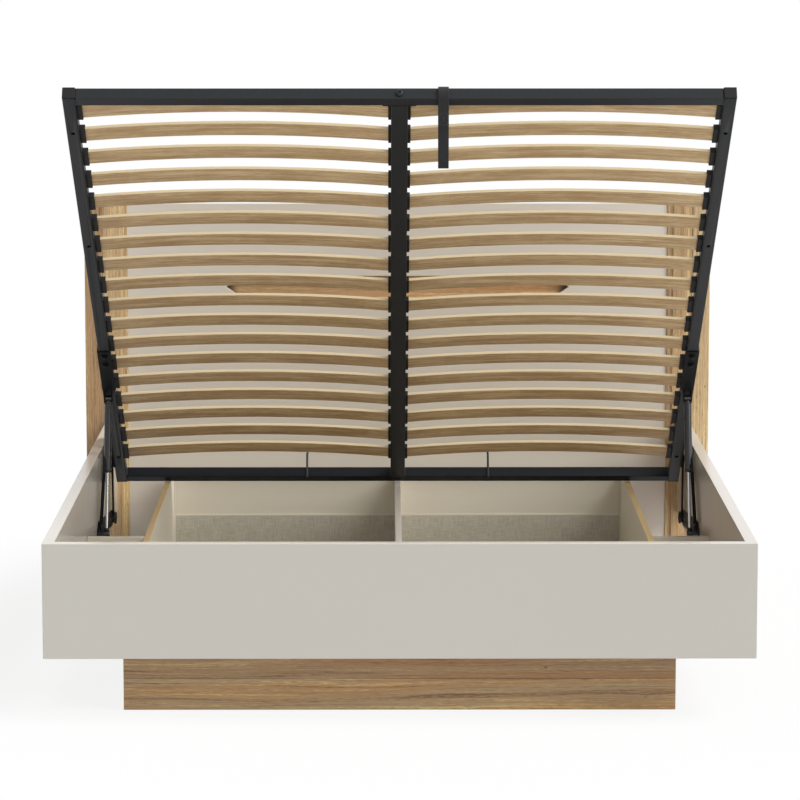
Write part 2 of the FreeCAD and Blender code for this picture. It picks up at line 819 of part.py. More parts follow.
def build_gas_springs():
    """Gas springs at their raised length: cylinder on the frame, rod to the lift base."""
    direction = (gas_stud - gas_top) / gas_length
    side = Vector(gas_centre, 0, 0)
    top = gas_top + side
    eye_half = gas_eye_width / 2
    eye = rod_x(gas_top.y, gas_top.z, gas_eye_radius, gas_centre - eye_half, gas_centre + eye_half)
    neck = Part.makeCylinder(gas_neck_radius, gas_neck_length + gas_end_wall, top, direction)
    start = top + direction * gas_neck_length
    body = Part.makeCylinder(gas_body_radius, gas_body_length - gas_neck_length, start, direction)
    cylinder = eye.fuse(neck).fuse(body)
    bore_from = gas_neck_length + gas_end_wall
    bore_start = top + direction * bore_from
    bore_length = gas_bore_end - bore_from
    cylinder = cylinder.cut(Part.makeCylinder(gas_bore_radius, bore_length, bore_start, direction))
    mouth = top + direction * gas_bore_end
    gland = gas_gland_length + cut_overrun
    cylinder = cylinder.cut(Part.makeCylinder(gas_rod_radius + pin_clearance, gland, mouth, direction))
    reach = eye_half + cut_overrun
    hole = gas_pin_radius + pin_clearance
    cylinder = cylinder.cut(rod_x(gas_top.y, gas_top.z, hole, gas_centre - reach, gas_centre + reach))
    both_sides("gas_cylinder", cylinder.removeSplitter())
    rod_top = top + direction * (gas_top_margin + gas_stroke)
    rod = Part.makeCylinder(gas_rod_radius, gas_length - gas_top_margin - gas_stroke, rod_top, direction)
    piston_radius = gas_bore_radius - gas_piston_gap
    piston = Part.makeCylinder(piston_radius, gas_piston_length, rod_top, direction)
    foot_eye = rod_x(gas_stud.y, gas_stud.z, gas_eye_radius, gas_centre - eye_half, gas_centre + eye_half)
    stub = rod_x(gas_stud.y, gas_stud.z, gas_stud_radius, gas_centre, gas_centre + eye_half + gas_eye_gap)
    both_sides("gas_rod", rod.fuse(piston).fuse(foot_eye).fuse(stub).removeSplitter())


def build_strap():
    """Webbing loop that hangs from the foot tube."""
    centre = frame_yz(frame_length - tube_size / 2, tube_size / 2, True)
    tip = centre - Vector(0, 0, strap_drop)
    inside = tube_size * math.sqrt(0.5) + strap_tube_gap
    x0 = strap_offset - strap_width / 2
    width = Vector(strap_width, 0, 0)
    outer = belt_face(centre, inside + strap_thickness, tip, strap_tip_radius + strap_thickness, x0)
    inner = belt_face(centre, inside, tip, strap_tip_radius, x0 - cut_overrun)
    through = width + Vector(cut_overrun + cut_overrun, 0, 0)
    nodes["pull_strap"] = outer.extrude(width).cut(inner.extrude(through))


def report_pivots():
    """Prints the joint places and the angles between the raised and lowered poses."""
    rear_low = frame_yz(rear_pivot_along, pivot_across, False)
    front_low = frame_yz(front_pivot_along, pivot_across, False)
    strap = frame_yz(frame_length - tube_size / 2, tube_size / 2, True)
    places = {
        "front_base": front_base,
        "front_top": front_top,
        "front_low": front_low,
        "rear_base": rear_base,
        "rear_top": rear_top,
        "rear_low": rear_low,
        "gas_stud": gas_stud,
        "gas_top": gas_top,
        "gas_top_low": gas_top_low,
        "strap": strap,
    }
    for name, place in places.items():
        print("pivot", name, round(place.y, 4), round(place.z, 4))
    print("gas spring", round(gas_length, 3), "stroke", round(gas_stroke, 3))


def export_nodes():
    """Writes one file for each node and prints what it holds."""
    os.makedirs("parts", exist_ok=True)
    for name, shape in nodes.items():
        shape.exportStep("parts/" + name + ".step")
        print("node", name, len(shape.Solids), shape.isValid(), round(shape.Volume / 1000, 1))
    print("nodes", len(nodes))


build_box()
build_headboard()
build_plinth()
build_linkage()
build_frame_tubes()
build_slats()
build_brackets()
build_gas_springs()
build_strap()
report_pivots()
export_nodes()
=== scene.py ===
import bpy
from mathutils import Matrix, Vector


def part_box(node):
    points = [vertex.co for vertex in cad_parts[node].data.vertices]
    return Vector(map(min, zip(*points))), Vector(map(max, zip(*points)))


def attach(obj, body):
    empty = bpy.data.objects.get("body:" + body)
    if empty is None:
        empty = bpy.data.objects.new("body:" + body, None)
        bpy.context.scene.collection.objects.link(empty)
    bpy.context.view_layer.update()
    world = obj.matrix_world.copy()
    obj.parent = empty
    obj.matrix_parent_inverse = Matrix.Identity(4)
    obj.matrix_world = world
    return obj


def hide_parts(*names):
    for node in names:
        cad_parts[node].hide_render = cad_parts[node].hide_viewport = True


bl_info = {
    "name": "Storage bed dressing",
    "version": (1, 0, 0),
    "blender": (4, 5, 0),
    "location": "View3D > Sidebar > Bed",
    "description": "Finishes, small fittings, pull strap and stage for a lift-up storage bed",
    "category": "Object",
}

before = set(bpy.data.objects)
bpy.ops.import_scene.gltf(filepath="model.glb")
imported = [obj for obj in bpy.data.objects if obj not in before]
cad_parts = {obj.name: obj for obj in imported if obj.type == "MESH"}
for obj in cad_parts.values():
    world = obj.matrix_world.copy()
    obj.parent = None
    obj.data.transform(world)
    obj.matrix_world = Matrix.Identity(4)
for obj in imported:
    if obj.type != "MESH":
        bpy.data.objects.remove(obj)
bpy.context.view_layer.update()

import math

import bmesh
import bpy
from mathutils import Matrix, Vector

# Places and sizes in the frame, metres: raised slatted frame, slats, pivots, gas spring, recess and strap
OPEN_ANGLE = math.radians(36.0)
HEAD_END = Vector((0.0, 0.794, 0.2795))
FRAME_LENGTH = 1.982
FRAME_HALF = 0.790
TUBE = 0.030
BEAM_HALF = 0.020
SLAT_COUNT = 18
SLAT_START = 0.127
SLAT_STEP = 1.7525 / (SLAT_COUNT - 1)
SLAT_WIDTH = 0.053
SLAT_MIDDLE = 0.38875
SLAT_RADIUS = 3.997
SLAT_CROWN = 0.029
FRONT_BASE = Vector((0.0, 0.2660266, 0.232))
REAR_BASE = Vector((0.0, 0.7395751, 0.185))
FRONT_TOP = Vector((0.0, 0.5131887, 0.5020624))
REAR_TOP = Vector((0.0, 0.7138249, 0.3562916))
GAS_TOP = Vector((0.0, 0.3518473, 0.5760214))
GAS_FOOT = Vector((0.0, 0.2360266, 0.227))
GAS_CENTRE = 0.777
GAS_BODY_LENGTH = 0.19856
BRACKET_BOLTS = (0.734, 0.688)
BRACKET_UNDERSIDE = -0.0030
LINK_INNER = 0.794
LINK_OUTER = 0.798
RAIL_BOLT_ACROSS = 0.816
RECESS_TIP = 0.4885
FOOT_TUBE_CENTRE = Vector((0.0, -0.7885196, 1.4478088))
STRAP_OFFSET = 0.103
STRAP_DROP = 0.160
STRAP_TOP_RADIUS = 0.0217
STRAP_TIP_RADIUS = 0.006

# From the slatted frame's own axes to its raised place
RAISED = Matrix.Translation(HEAD_END) @ Matrix.Rotation(-OPEN_ANGLE, 4, "X")

# Which boards of the oak decor the posts and the plinth show, and how wide the boards are, metres
POST_SEED = 365.0
PLINTH_SEED = 98.0
PLINTH_BOARD = 0.078
PLINTH_BOARD_START = -0.0023
POST_BOARD = 0.84
RECESS_BOARD = 0.9

# How far short of an edge a mark begins and is full, metres
# Painted light: reach of the top edges painted paler, as if lit from above
LIT_EDGE_REACH = (0.0010, 0.0006)
BOARD_JOINT = (0.0011, 0.0004)
# Painted shade: reach of the darkening at the recess's pointed ends
TIP_SHADE = (0.042, 0.008)
SLAT_CUT = (0.0007, 0.0003)
SELVEDGE = (0.0022, 0.0014)

# How far past a face its finish goes over to the next one, metres
LINING_DEPTH = (0.0005, 0.0008)
RECESS_FACE = (0.0004, 0.0008)

# Oak decor: marks to the metre along and across the grain, then detail and roughness of the noise
OAK_WANDER = (1.5, 7.0, 1.5, 0.5)
OAK_BANDS = (1.1, 48.0, 2.0, 0.5)
OAK_STREAKS = (3.0, 240.0, 3.0, 0.65)
OAK_FIBRES = (34.0, 480.0, 3.0, 0.7)
OAK_PORES = (60.0, 1500.0, 2.0, 0.5)
OAK_VEINS = (4.0, 430.0, 2.0, 0.6)
OAK_HUES = (0.8, 26.0, 2.0, 0.5)
OAK_KNOTS = (12.0, 24.0)

# Oak decor: tints, sway of the grain and shift of a board along it, metres, and boards below the first
OAK_WARM = (1.0, 0.865, 0.73)
OAK_COOL = (0.95, 0.98, 0.97)
GRAIN_SWAY = 0.04
KNOT_SWAY = 0.003
BOARDS_BELOW = 40.0
BOARD_SHIFT = 9.7

# Slats and hidden softwood: marks as for the oak, a slat's shift, ply and margin before its row, metres
SLAT_CLOUDS = (8.0, 45.0, 2.0, 0.5)
SLAT_FIBRES = (30.0, 430.0, 3.0, 0.7)
SLAT_FLECKS = (90.0, 900.0, 1.0, 0.5)
SLAT_SHIFT = 4.3
SLAT_PLY = 0.0016
SLAT_MARGIN = 0.02
PINE_LINES = (2.0, 120.0, 3.0, 0.6, 0.3)
PINE_FIBRES = (20.0, 900.0, 2.0, 0.5)

# Other finishes: marks to the metre, then detail and roughness of the noise
PEARL_GRAIN = (1400.0, 2.0, 0.6)
LAMINATE_CLOUD = (3.0, 3.0, 0.6)
COAT_SKIN = (620.0, 2.0, 0.55)
COAT_SPECK = (2600.0, 1.0, 0.5)
COAT_PATCH = (7.0, 4.0, 0.65)
MOULDED_PATCH = (22.0, 2.0, 0.5)
PLATING_CLOUD = (160.0, 3.0, 0.6)
PLATING_SCRATCHES = (2600.0, 260.0, 2.0, 0.6)
WEBBING_FUZZ = (3200.0, 2.0, 0.6)
FLOOR_MOTTLE = (9.0, 3.0, 0.6)

# Linen print: marks to the metre across and up, layer of the noise, then its detail and roughness
LINEN_WARP = (480.0, 26.0, 0.0, 3.0, 0.7)
LINEN_WEFT = (26.0, 560.0, 3.0, 3.0, 0.7)
LINEN_SLUB = (160.0, 110.0, 7.0, 3.0, 0.65)
LINEN_CLOUD = (30.0, 30.0, 1.0, 2.0, 0.55)

# Relief of the finishes: depth, metres, and strength
PEARL_RELIEF = (0.00003, 0.25)
OAK_RELIEF = (0.0002, 0.4)
SLAT_RELIEF = (0.00012, 0.4)
SPARK_RELIEF = (0.00025, 0.45)
LINEN_RELIEF = (0.00015, 0.4)
PINE_RELIEF = (0.0002, 0.4)
WEAVE_RELIEF = (0.0003, 0.6)
COAT_DEPTH = 0.00012
SCRATCH_DEPTH = 0.00001

# Webbing: width of a chevron, pitch of the twill and of the selvedge's cords, metres, and the twill's slant
CHEVRON = 0.0052
TWILL_PITCH = 0.0016
CORD_PITCH = 0.0013
TWILL_SLANT = 1.6

# Rounding of the CAD nodes' edges: what is welded, metres, what counts as flat and what as an edge
WELD_REACH = 0.00002
FLAT_ANGLE = math.radians(0.4)
EDGE_ANGLE = math.radians(38)

# Fastenings, metres: screw rows as shares of the corner angles' height, seats, radii and heights of heads
ANGLE_SCREW_SHARES = (0.2, 0.8)
ANGLE_SCREW_IN = 0.020
ANGLE_FACE = 0.005
RAIL_BOLT_RADIUS = 0.008
RAIL_BOLT_SINK = 0.0015
CAP_FOOT = 0.0095
CAP_LOBES = 6
CAP_SINK = 0.0004
CENTRE_BOLT_SEAT = 0.0021
RIVET_RADIUS = 0.0094
RIVET_HEIGHT = 0.0027
RIVET_SINK = 0.0001
PIN_HEAD_HEIGHT = 0.0024
PIN_HEAD_SEAT = 0.0003

# Pivot, radius and height of each cap, and radius, height and half the socket's width of the centre bolt
PIVOT_CAPS = ((FRONT_BASE, 0.0125, 0.0050), (REAR_BASE, 0.017, 0.0068))
CENTRE_BOLT = (0.0088, 0.0036, 0.0030)

# Ways that a fitting on the right-hand side looks
BACKWARD = (0, 1, 0)
INWARD = (-1, 0, 0)
OUTWARD = (1, 0, 0)

# Steps round a fitting with six flats or lobes, and round any other
HEX_STEPS = 36
ROUND_STEPS = 32

# Weld beads, metres: radius, ripple, distance from a tube's corner, lift off its face, half the beam's bead
BEAD_RADIUS = 0.0016
BEAD_RIPPLE = 0.0011
BEAD_END = 0.002
BEAD_LIFT = 0.0002
BEAM_BEAD_HALF = 0.019
BEAD_STEPS = 8

# Gas spring fittings, metres: the crimp's place behind the cylinder's mouth and half the rod eye's width
CRIMP_BACK = 0.022
EYE_HALF = 0.008

# Pull strap, metres: room over the tube, the sewn lap under the tube's middle and its stitches
STRAP_ROOM = 0.0001
LAP_TOP = 0.026
LAP_FOOT = 0.078
LAP_OUTWARD = Vector((0, -1, -0.1)).normalized()
STITCH_IN = 0.0035
STITCH_PITCH = 0.0034
STITCH_RADIUS = 0.00045
STITCH_STEPS = 6

# Pull strap: steps over the tube, round the fold and down a leg, the lap's shares of width and thickness
TUBE_STEPS = 24
FOLD_STEPS = 12
LEG_STEPS = 22
LAP_WIDTH = 0.998
LAP_THICKNESS = 0.9
LAP_LIFT = 0.96
LAP_END_LIFT = 0.6

# Section of the webbing, as shares of half its width and of its thickness
WEBBING_SECTION = (
    (-1.0, 0.0), (-0.965, 0.5), (-0.5, 0.5), (0.0, 0.5), (0.5, 0.5), (0.965, 0.5),
    (1.0, 0.0), (0.965, -0.5), (0.5, -0.5), (0.0, -0.5), (-0.5, -0.5), (-0.965, -0.5),
)

# Form of one stitch, as shares of its radius and of half its length
STITCH_FORM = ((0, -1.0), (7 / 9, -0.8), (1.0, 0.0), (7 / 9, 0.8), (0, 1.0))

# Stage: places of lamps and camera, metres, spreads and turns, degrees, lens and sensor, millimetres
WHITE = (1.0, 1.0, 1.0)
LAMP_AIM = Vector((0, 0, 0.4))
KEY_PLACE = (4.2, -1.8, 4.3)
KEY_SPREAD = 42.0
FRONT_PLACE = (0.6, -5.4, 0.97)
FRONT_SPREAD = 30.0
CAMERA_PLACE = (-0.03018, -9.4425, 1.9339)
CAMERA_DIP = 7.91795
CAMERA_TURN = -0.20683
CAMERA_LENS = 165.807
CAMERA_SENSOR = 36.0

# Floor: cells to a side, drop under the bed and where it turns white, metres
FLOOR_CELLS = 24
FLOOR_DROP = 0.0005
FLOOR_FADE = (1.0, 2.0)


def linear(red, green, blue):
    """Scene-linear colour of an 8-bit screen colour."""
    values = []
    for level in (red, green, blue):
        share = level / 255
        values.append(share / 12.92 if share <= 0.04045 else ((share + 0.055) / 1.055) ** 2.4)
    return tuple(values)


def colour_prop(label, words, shade):
    """Colour setting of a finish."""
    return bpy.props.FloatVectorProperty(
        name=label, description=words, subtype="COLOR", size=3, min=0, max=1, default=linear(*shade)
    )


def length_prop(label, words, size):
    """Length setting of a piece, in metres."""
    return bpy.props.FloatProperty(name=label, description=words, unit="LENGTH", min=0, default=size)


def strength_prop(label, words, strength):
    """Strength setting of a light."""
    return bpy.props.FloatProperty(name=label, description=words, min=0, default=strength)


class BedColours(bpy.types.PropertyGroup):
    """Colours of the bed's finishes"""

    greige: colour_prop("Surround", "Laminate of the foot panel and the side rails", (196, 192, 183))
    # Painted light: paler tops of the foot panel, rails and divider, as if lit from above
    edge_band: colour_prop("Lit top edge", "Top of the foot panel, rails and divider", (236, 230, 220))
    headboard: colour_prop("Headboard", "Laminate of the headboard's panel", (224, 216, 203))
    divider: colour_prop("Divider", "Laminate of the centre divider and the battens", (226, 220, 207))
    lining: colour_prop("Inner walls", "Laminate of the plinth's inside and the spreaders", (214, 206, 189))
    linen_light: colour_prop("Linen light", "Raised threads of the linen print", (206, 200, 184))
    linen_dark: colour_prop("Linen dark", "Sunk threads of the linen print", (162, 157, 142))
    oak_light: colour_prop("Oak light", "Early wood of the oak", (213, 185, 132))
    oak_middle: colour_prop("Oak middle", "Ground tone of the oak", (178, 147, 109))
    oak_dark: colour_prop("Oak dark", "Late wood and pores of the oak", (122, 92, 64))
    slat_light: colour_prop("Slat light", "Light staves of the slats", (218, 191, 149))
    slat_dark: colour_prop("Slat dark", "Dark staves of the slats", (183, 150, 108))
    slat_edge: colour_prop("Slat edge", "Cut edge of the slats", (217, 198, 160))
    pine_light: colour_prop("Pine light", "Early wood of the floor cleats", (205, 176, 132))
    pine_dark: colour_prop("Pine dark", "Late wood of the floor cleats", (168, 132, 88))
    steel: colour_prop("Frame steel", "Powder coat of the tubes and the lift", (33, 35, 38))
    angle: colour_prop("Corner angles", "Powder coat of the corner angles", (122, 124, 126))
    zinc: colour_prop("Zinc", "Plating of screws, bolts and base pins", (196, 198, 203))
    bolt: colour_prop("Black bolts", "Plating of the lift's pins, bolts and rivets", (58, 59, 62))
    cylinder: colour_prop("Gas cylinder", "Paint of the gas cylinders", (13, 13, 14))
    rod: colour_prop("Gas rod", "Chrome of the gas rods", (174, 175, 178))
    seal: colour_prop("Rod seal", "Seals of the gas rods", (24, 24, 25))
    pivot_cap: colour_prop("Pivot cap", "Caps on the lift's base pivots", (22, 22, 23))
    plastic: colour_prop("Plastic", "Moulded holders and tube caps", (15, 15, 16))
    rubber: colour_prop("Rubber", "Rest pads", (40, 40, 41))
    webbing: colour_prop("Webbing", "Woven pull strap", (31, 31, 32))
    thread: colour_prop("Thread", "Stitches of the pull strap", (70, 70, 72))
    floor: colour_prop("Floor", "Studio floor", (243, 243, 243))


class BedSizes(bpy.types.PropertyGroup):
    """Sizes of the dressing and strengths of its light"""

    board_edge: length_prop("Board edge", "Rounding of the boards' edges", 0.0012)
    tube_edge: length_prop("Tube edge", "Rounding of the tubes' edges", 0.0022)
    plate_edge: length_prop("Plate edge", "Rounding of the plates', linings' and pads' edges", 0.0005)
    slat_edge: length_prop("Slat edge", "Rounding of the slats' edges", 0.0012)
    holder_edge: length_prop("Holder edge", "Rounding of the slat holders' and cleats' edges", 0.0008)
    cap_edge: length_prop("Cap edge", "Rounding of the tube caps' edges", 0.0016)
    strap_width: length_prop("Strap width", "Width of the webbing", 0.025)
    strap_thickness: length_prop("Strap thickness", "Thickness of the webbing", 0.0022)
    floor_size: length_prop("Floor", "Length of the floor's sides", 60.0)
    key_strength: strength_prop("Key light", "Strength of the high soft lamp", 2.9)
    front_strength: strength_prop("Front light", "Strength of the low soft lamp", 0.5)
    fill_strength: strength_prop("Surrounding light", "Strength of the even light all round", 0.30)
    shadow_share: bpy.props.FloatProperty(
        name="Shadow",
        description="Share of the shadow that the floor shows",
        subtype="FACTOR",
        min=0,
        max=1,
        default=0.15,
    )


def colours():
    """The scene's colour settings."""
    return bpy.context.scene.bed_colours


def sizes():
    """The scene's size settings."""
    return bpy.context.scene.bed_sizes


def scaled(colour, factor):
    """The colour, lighter or darker."""
    return tuple(min(1.0, level * factor) for level in colour)


def tint(name, factor=1.0):
    """A colour setting, lighter or darker."""
    return scaled(getattr(colours(), name), factor)


class Wire:
    """A socket in a node tree, on which sums and products add Math nodes"""

    def __init__(self, tree, socket=None):
        self.tree = tree
        self.socket = socket

    def node(self, kind, settings=None, inputs=None, output=0):
        """Adds a node of any type, sets it up, feeds it, and gives one of its outputs."""
        made = self.tree.nodes.new(kind)
        for key, value in (settings or {}).items():
            if key == "stops":
                band = made.color_ramp.elements
                while len(band) < len(value):
                    band.new(1.0)
                for stop, (position, shade) in zip(band, value):
                    stop.position = position
                    stop.color = (*shade[:3], 1.0)
            else:
                setattr(made, key, value)
        for key, value in (inputs or {}).items():
            if isinstance(value, Wire):
                self.tree.links.new(value.socket, made.inputs[key])
            elif made.inputs[key].type == "RGBA" and len(value) == 3:
                made.inputs[key].default_value = (*value, 1.0)
            else:
                made.inputs[key].default_value = value
        return Wire(self.tree, made.outputs[output])

    def maths(self, operation, first, second=0.0):
        """One Math node on two values."""
        return self.node("ShaderNodeMath", {"operation": operation}, {0: first, 1: second})

    def __add__(self, other):
        return self.maths("ADD", self, other)

    def __radd__(self, other):
        return self.maths("ADD", other, self)

    def __sub__(self, other):
        return self.maths("SUBTRACT", self, other)

    def __rsub__(self, other):
        return self.maths("SUBTRACT", other, self)

    def __mul__(self, other):
        return self.maths("MULTIPLY", self, other)

    def __rmul__(self, other):
        return self.maths("MULTIPLY", other, self)

    def __truediv__(self, other):
        return self.maths("DIVIDE", self, other)

    def __rtruediv__(self, other):
        return self.maths("DIVIDE", other, self)

    def __abs__(self):
        return self.maths("ABSOLUTE", self)

    def __floor__(self):
        return self.maths("FLOOR", self)

    def sine(self):
        """Sine of the value."""
        return self.maths("SINE", self)

    def cell(self):
        """What is left of the value after its whole part."""
        return self.maths("FRACT", self)

    def step(self, low, high):
        """Smooth step from 0 at low to 1 at high."""
        return self.node(
            "ShaderNodeMapRange", {"interpolation_type": "SMOOTHSTEP"}, {"Value": self, 1: low, 2: high}
        )

    def nearing(self, limit, short):
        """Smooth step that begins and is full these two distances short of a limit."""
        begins, full = short
        return self.step(limit - begins, limit - full)

    def chance(self):
        """Fixed random value for each whole value."""
        return self.node("ShaderNodeTexWhiteNoise", {"noise_dimensions": "1D"}, {"W": self})

    def axes(self):
        """X, Y and Z of this vector."""
        parts = self.node("ShaderNodeSeparateXYZ", None, {0: self})
        return [Wire(self.tree, parts.socket.node.outputs[index]) for index in range(3)]

    def vector(self, x, y, z):
        """Vector of three values."""
        return self.node("ShaderNodeCombineXYZ", None, {0: x, 1: y, 2: z})

    def noise(self, scale, detail, rough, warp=0.0):
        """Noise over this vector."""
        inputs = {"Vector": self, "Scale": scale, "Detail": detail, "Roughness": rough, "Distortion": warp}
        return self.node("ShaderNodeTexNoise", None, inputs)

    def drawn_out(self, run, across, through, lengthwise, crosswise):
        """Vector along, across and through a grain, scaled along it and across it."""
        return self.vector(run * lengthwise, across * crosswise, through * crosswise)

    def marks(self, run, across, through, lengthwise, crosswise, *texture):
        """Noise that is drawn out along a grain."""
        return self.drawn_out(run, across, through, lengthwise, crosswise).noise(1.0, *texture)

    def spots(self):
        """Distance to the nearest of the spots that are scattered over this vector."""
        return self.node("ShaderNodeTexVoronoi", None, {"Vector": self, "Scale": 1.0})

    def ramp(self, *stops):
        """Colour band over this value."""
        return self.node("ShaderNodeValToRGB", {"stops": stops}, {0: self})

    def mix(self, first, second, blend="MIX"):
        """Mix of two colours by this value."""
        settings = {"data_type": "RGBA", "blend_type": blend}
        return self.node("ShaderNodeMix", settings, {0: self, 6: first, 7: second}, 2)

    def times(self, colour):
        """This colour multiplied by another."""
        settings = {"data_type": "RGBA", "blend_type": "MULTIPLY"}
        return self.node("ShaderNodeMix", settings, {0: 1.0, 6: self, 7: colour}, 2)

    def between(self, first, second):
        """Mix of two values by this value."""
        return self.node("ShaderNodeMix", {"data_type": "FLOAT"}, {0: self, 2: first, 3: second})

    def bump(self, depth, strength):
        """Normal of this height, depth in metres."""
        inputs = {"Strength": strength, "Distance": depth, "Height": self}
        return self.node("ShaderNodeBump", None, inputs)


def finish(name, build, shine=0.5, metal=0.0, sheen=0.0):
    """Material whose colour, roughness and normal come from build, with plain values for the rest."""
    material = bpy.data.materials.new(name)
    material.use_nodes = True
    tree = material.node_tree
    shader = tree.nodes["Principled BSDF"]
    place = Wire(tree).node("ShaderNodeTexCoord", None, None, "Object")
    for socket, value in zip(("Base Color", "Roughness", "Normal"), build(place)):
        tree.links.new(value.socket, shader.inputs[socket])
    for socket, value in (("Specular IOR Level", shine), ("Metallic", metal), ("Sheen Weight", sheen)):
        shader.inputs[socket].default_value = value
    return material


def laminate(name, colour, rough=0.30, band=None, shine=0.5):
    """Satin laminate on board, with a fine pearl grain. band is the height of a top edge painted paler, as
    painted light from above.
    """

    def build(place):
        grain = place.noise(*PEARL_GRAIN)
        cloud = place.noise(*LAMINATE_CLOUD)
        base = (grain * 0.6 + cloud * 0.4).mix(scaled(colour, 0.965), scaled(colour, 1.035))
        # Painted light: the top edge is painted paler, as if lit from above
        if band is not None:
            lit_edge_mask = place.axes()[2].nearing(band, LIT_EDGE_REACH)
            base = lit_edge_mask.mix(base, (cloud * 0.5).mix(tint("edge_band"), tint("edge_band", 0.95)))
        gloss = rough - 0.04 + grain * 0.05 + cloud * 0.03
        return base, gloss, grain.bump(*PEARL_RELIEF)

    return finish(name, build, shine)


def oak(name, order, plank, tone=1.0, joint=1.0, first=0.0, seed=0.0, blush=0.9, inside=None, lit_crest=None,
        tips=None):
    """Oak decor in boards as wide as plank, order names the axes along, across and through the grain.

    tone lightens it, joint shows the lines between boards, first is where a board starts, seed picks
    the boards and blush is the share of warm tint. inside is the X of a laminated inner face, lit_crest
    the height of a top edge painted paler as painted light, and tips the X of the recess's ends, which
    get painted shade, with the Y of its face.
    """
    light, middle, dark = (tint(setting, tone) for setting in ("oak_light", "oak_middle", "oak_dark"))

    def build(place):
        named = dict(zip("XYZ", place.axes()))
        along, across, through = (named[letter] for letter in order)
        board = (across - first) / plank + BOARDS_BELOW
        luck = (math.floor(board) + seed).chance()
        run = along + luck * BOARD_SHIFT
        wander = place.marks(run, across, through, *OAK_WANDER)
        knots = place.drawn_out(run, across, through, *OAK_KNOTS).spots()
        grain = across + (wander - 0.5) * GRAIN_SWAY + (1 - knots.step(0.0, 0.36)) * KNOT_SWAY
        bands = place.marks(run, grain, through, *OAK_BANDS)
        streaks = place.marks(run, grain, through, *OAK_STREAKS)
        fibres = place.marks(run, grain, through, *OAK_FIBRES)
        pores = place.marks(run, grain, through, *OAK_PORES).step(0.58, 0.68) * bands.step(0.38, 0.60)
        veins = place.marks(run, grain, through, *OAK_VEINS).step(0.55, 0.68)
        hues = place.marks(run, grain, through, *OAK_HUES)
        level = bands * 0.33 + streaks * 0.39 + fibres * 0.34
        base = level.ramp((0.40, dark), (0.50, middle), (0.56, middle), (0.63, light))
        base = (veins * 0.5).mix(base, scaled(dark, 0.88))
        base = (hues.step(0.44, 0.60) * blush).mix(base, OAK_WARM, "MULTIPLY")
        base = ((1 - hues).step(0.50, 0.62) * 0.8).mix(base, OAK_COOL, "MULTIPLY")
        base = (pores * 0.4).mix(base, scaled(dark, 0.72))
        base = ((1 - knots.step(0.02, 0.07)) * 0.8).mix(base, scaled(dark, 0.50))
        # Each board is lighter or darker, and the darker ones are redder
        shade = 0.80 + luck * 0.40
        base = base.times(place.vector(shade, shade * (0.93 + luck * 0.17), shade * (0.90 + luck * 0.24)))
        groove = abs(board.cell() - 0.5).nearing(0.5, [short / plank for short in BOARD_JOINT]) * joint
        base = (groove * 0.6).mix(base, scaled(dark, 0.45))
        # Painted light: the top edge is painted paler, as if lit from above
        if lit_crest is not None:
            base = (named["Z"].nearing(lit_crest, LIT_EDGE_REACH) * 0.7).mix(base, scaled(light, 1.1))
        if inside is not None:
            begins, full = LINING_DEPTH
            lined = 1 - abs(named["X"]).step(inside + begins, inside + full)
            base = lined.mix(base, tint("lining"))
        # Painted shade: the lining darkens towards the recess's pointed ends
        if tips is not None:
            begins, full = RECESS_FACE
            face = 1 - named["Y"].step(tips[1] + begins, tips[1] + full)
            shaded = abs(named["X"]).nearing(tips[0], TIP_SHADE) * face
            base = (shaded * 0.93).mix(base, scaled(dark, 0.12))
        rough = 0.42 + fibres * 0.16 - pores * 0.06
        height = fibres * 0.5 - pores * 0.6 - groove * 1.4
        return base, rough, height.bump(*OAK_RELIEF)

    return finish(name, build, shine=0.4)


def slat_wood(name):
    """Bent laminated slats, glued from staves, with pale cut edges that show the plies."""
    light, dark, cut = (tint(setting) for setting in ("slat_light", "slat_dark", "slat_edge"))
    sine = math.sin(OPEN_ANGLE)
    cosine = math.cos(OPEN_ANGLE)
    run_zero = HEAD_END.z * sine - HEAD_END.y * cosine
    rise_zero = HEAD_END.y * sine + HEAD_END.z * cosine
    half = SLAT_WIDTH / 2

    def build(place):
        x, y, z = place.axes()
        run = z * sine - y * cosine - run_zero
        rise = y * sine + z * cosine - rise_zero
        row = math.floor((run - (SLAT_START - SLAT_MARGIN)) / SLAT_STEP)
        inside = run - SLAT_START - row * SLAT_STEP
        # One random value for each slat, and one for each stave in it
        luck = (row * 1.37 + x.step(-0.001, 0.001) * 31.0).chance()
        stave = math.floor(x * (4.2 + luck * 2.4) + luck * 17.0)
        stave_luck = (stave * 3.17 + row * 7.31).chance()
        shift = x + luck * SLAT_SHIFT
        streaks = place.vector(shift * 3.0, run * 190.0, rise * 60.0).noise(1.0, 3.0, 0.6)
        clouds = place.marks(shift, run, rise, *SLAT_CLOUDS)
        fibres = place.marks(shift, run, rise, *SLAT_FIBRES)
        flecks = place.marks(shift, run, rise, *SLAT_FLECKS).step(0.64, 0.72)
        level = streaks * 0.38 + clouds * 0.24 + fibres * 0.33 + stave_luck * 0.03
        base = level.ramp(
            (0.32, scaled(dark, 0.86)), (0.44, dark), (0.58, light), (0.70, scaled(light, 1.06))
        )
        base = (flecks * 0.25).mix(base, scaled(dark, 0.62))
        reach = abs(x) - SLAT_MIDDLE
        arch = SLAT_CROWN - reach * reach / (2 * SLAT_RADIUS)
        ply = ((rise - arch) / SLAT_PLY).cell()
        glue = abs(ply - 0.5).step(0.40, 0.47)
        edges = abs(inside - half).nearing(half, SLAT_CUT)
        rim = (glue * 0.20 + fibres * 0.18).mix(cut, scaled(cut, 0.66))
        base = edges.mix(base, rim)
        rough = 0.46 + fibres * 0.18
        height = fibres * 0.5 + streaks * 0.3 - glue * edges * 0.5
        return base, rough, height.bump(*SLAT_RELIEF)

    return finish(name, build, shine=0.4)


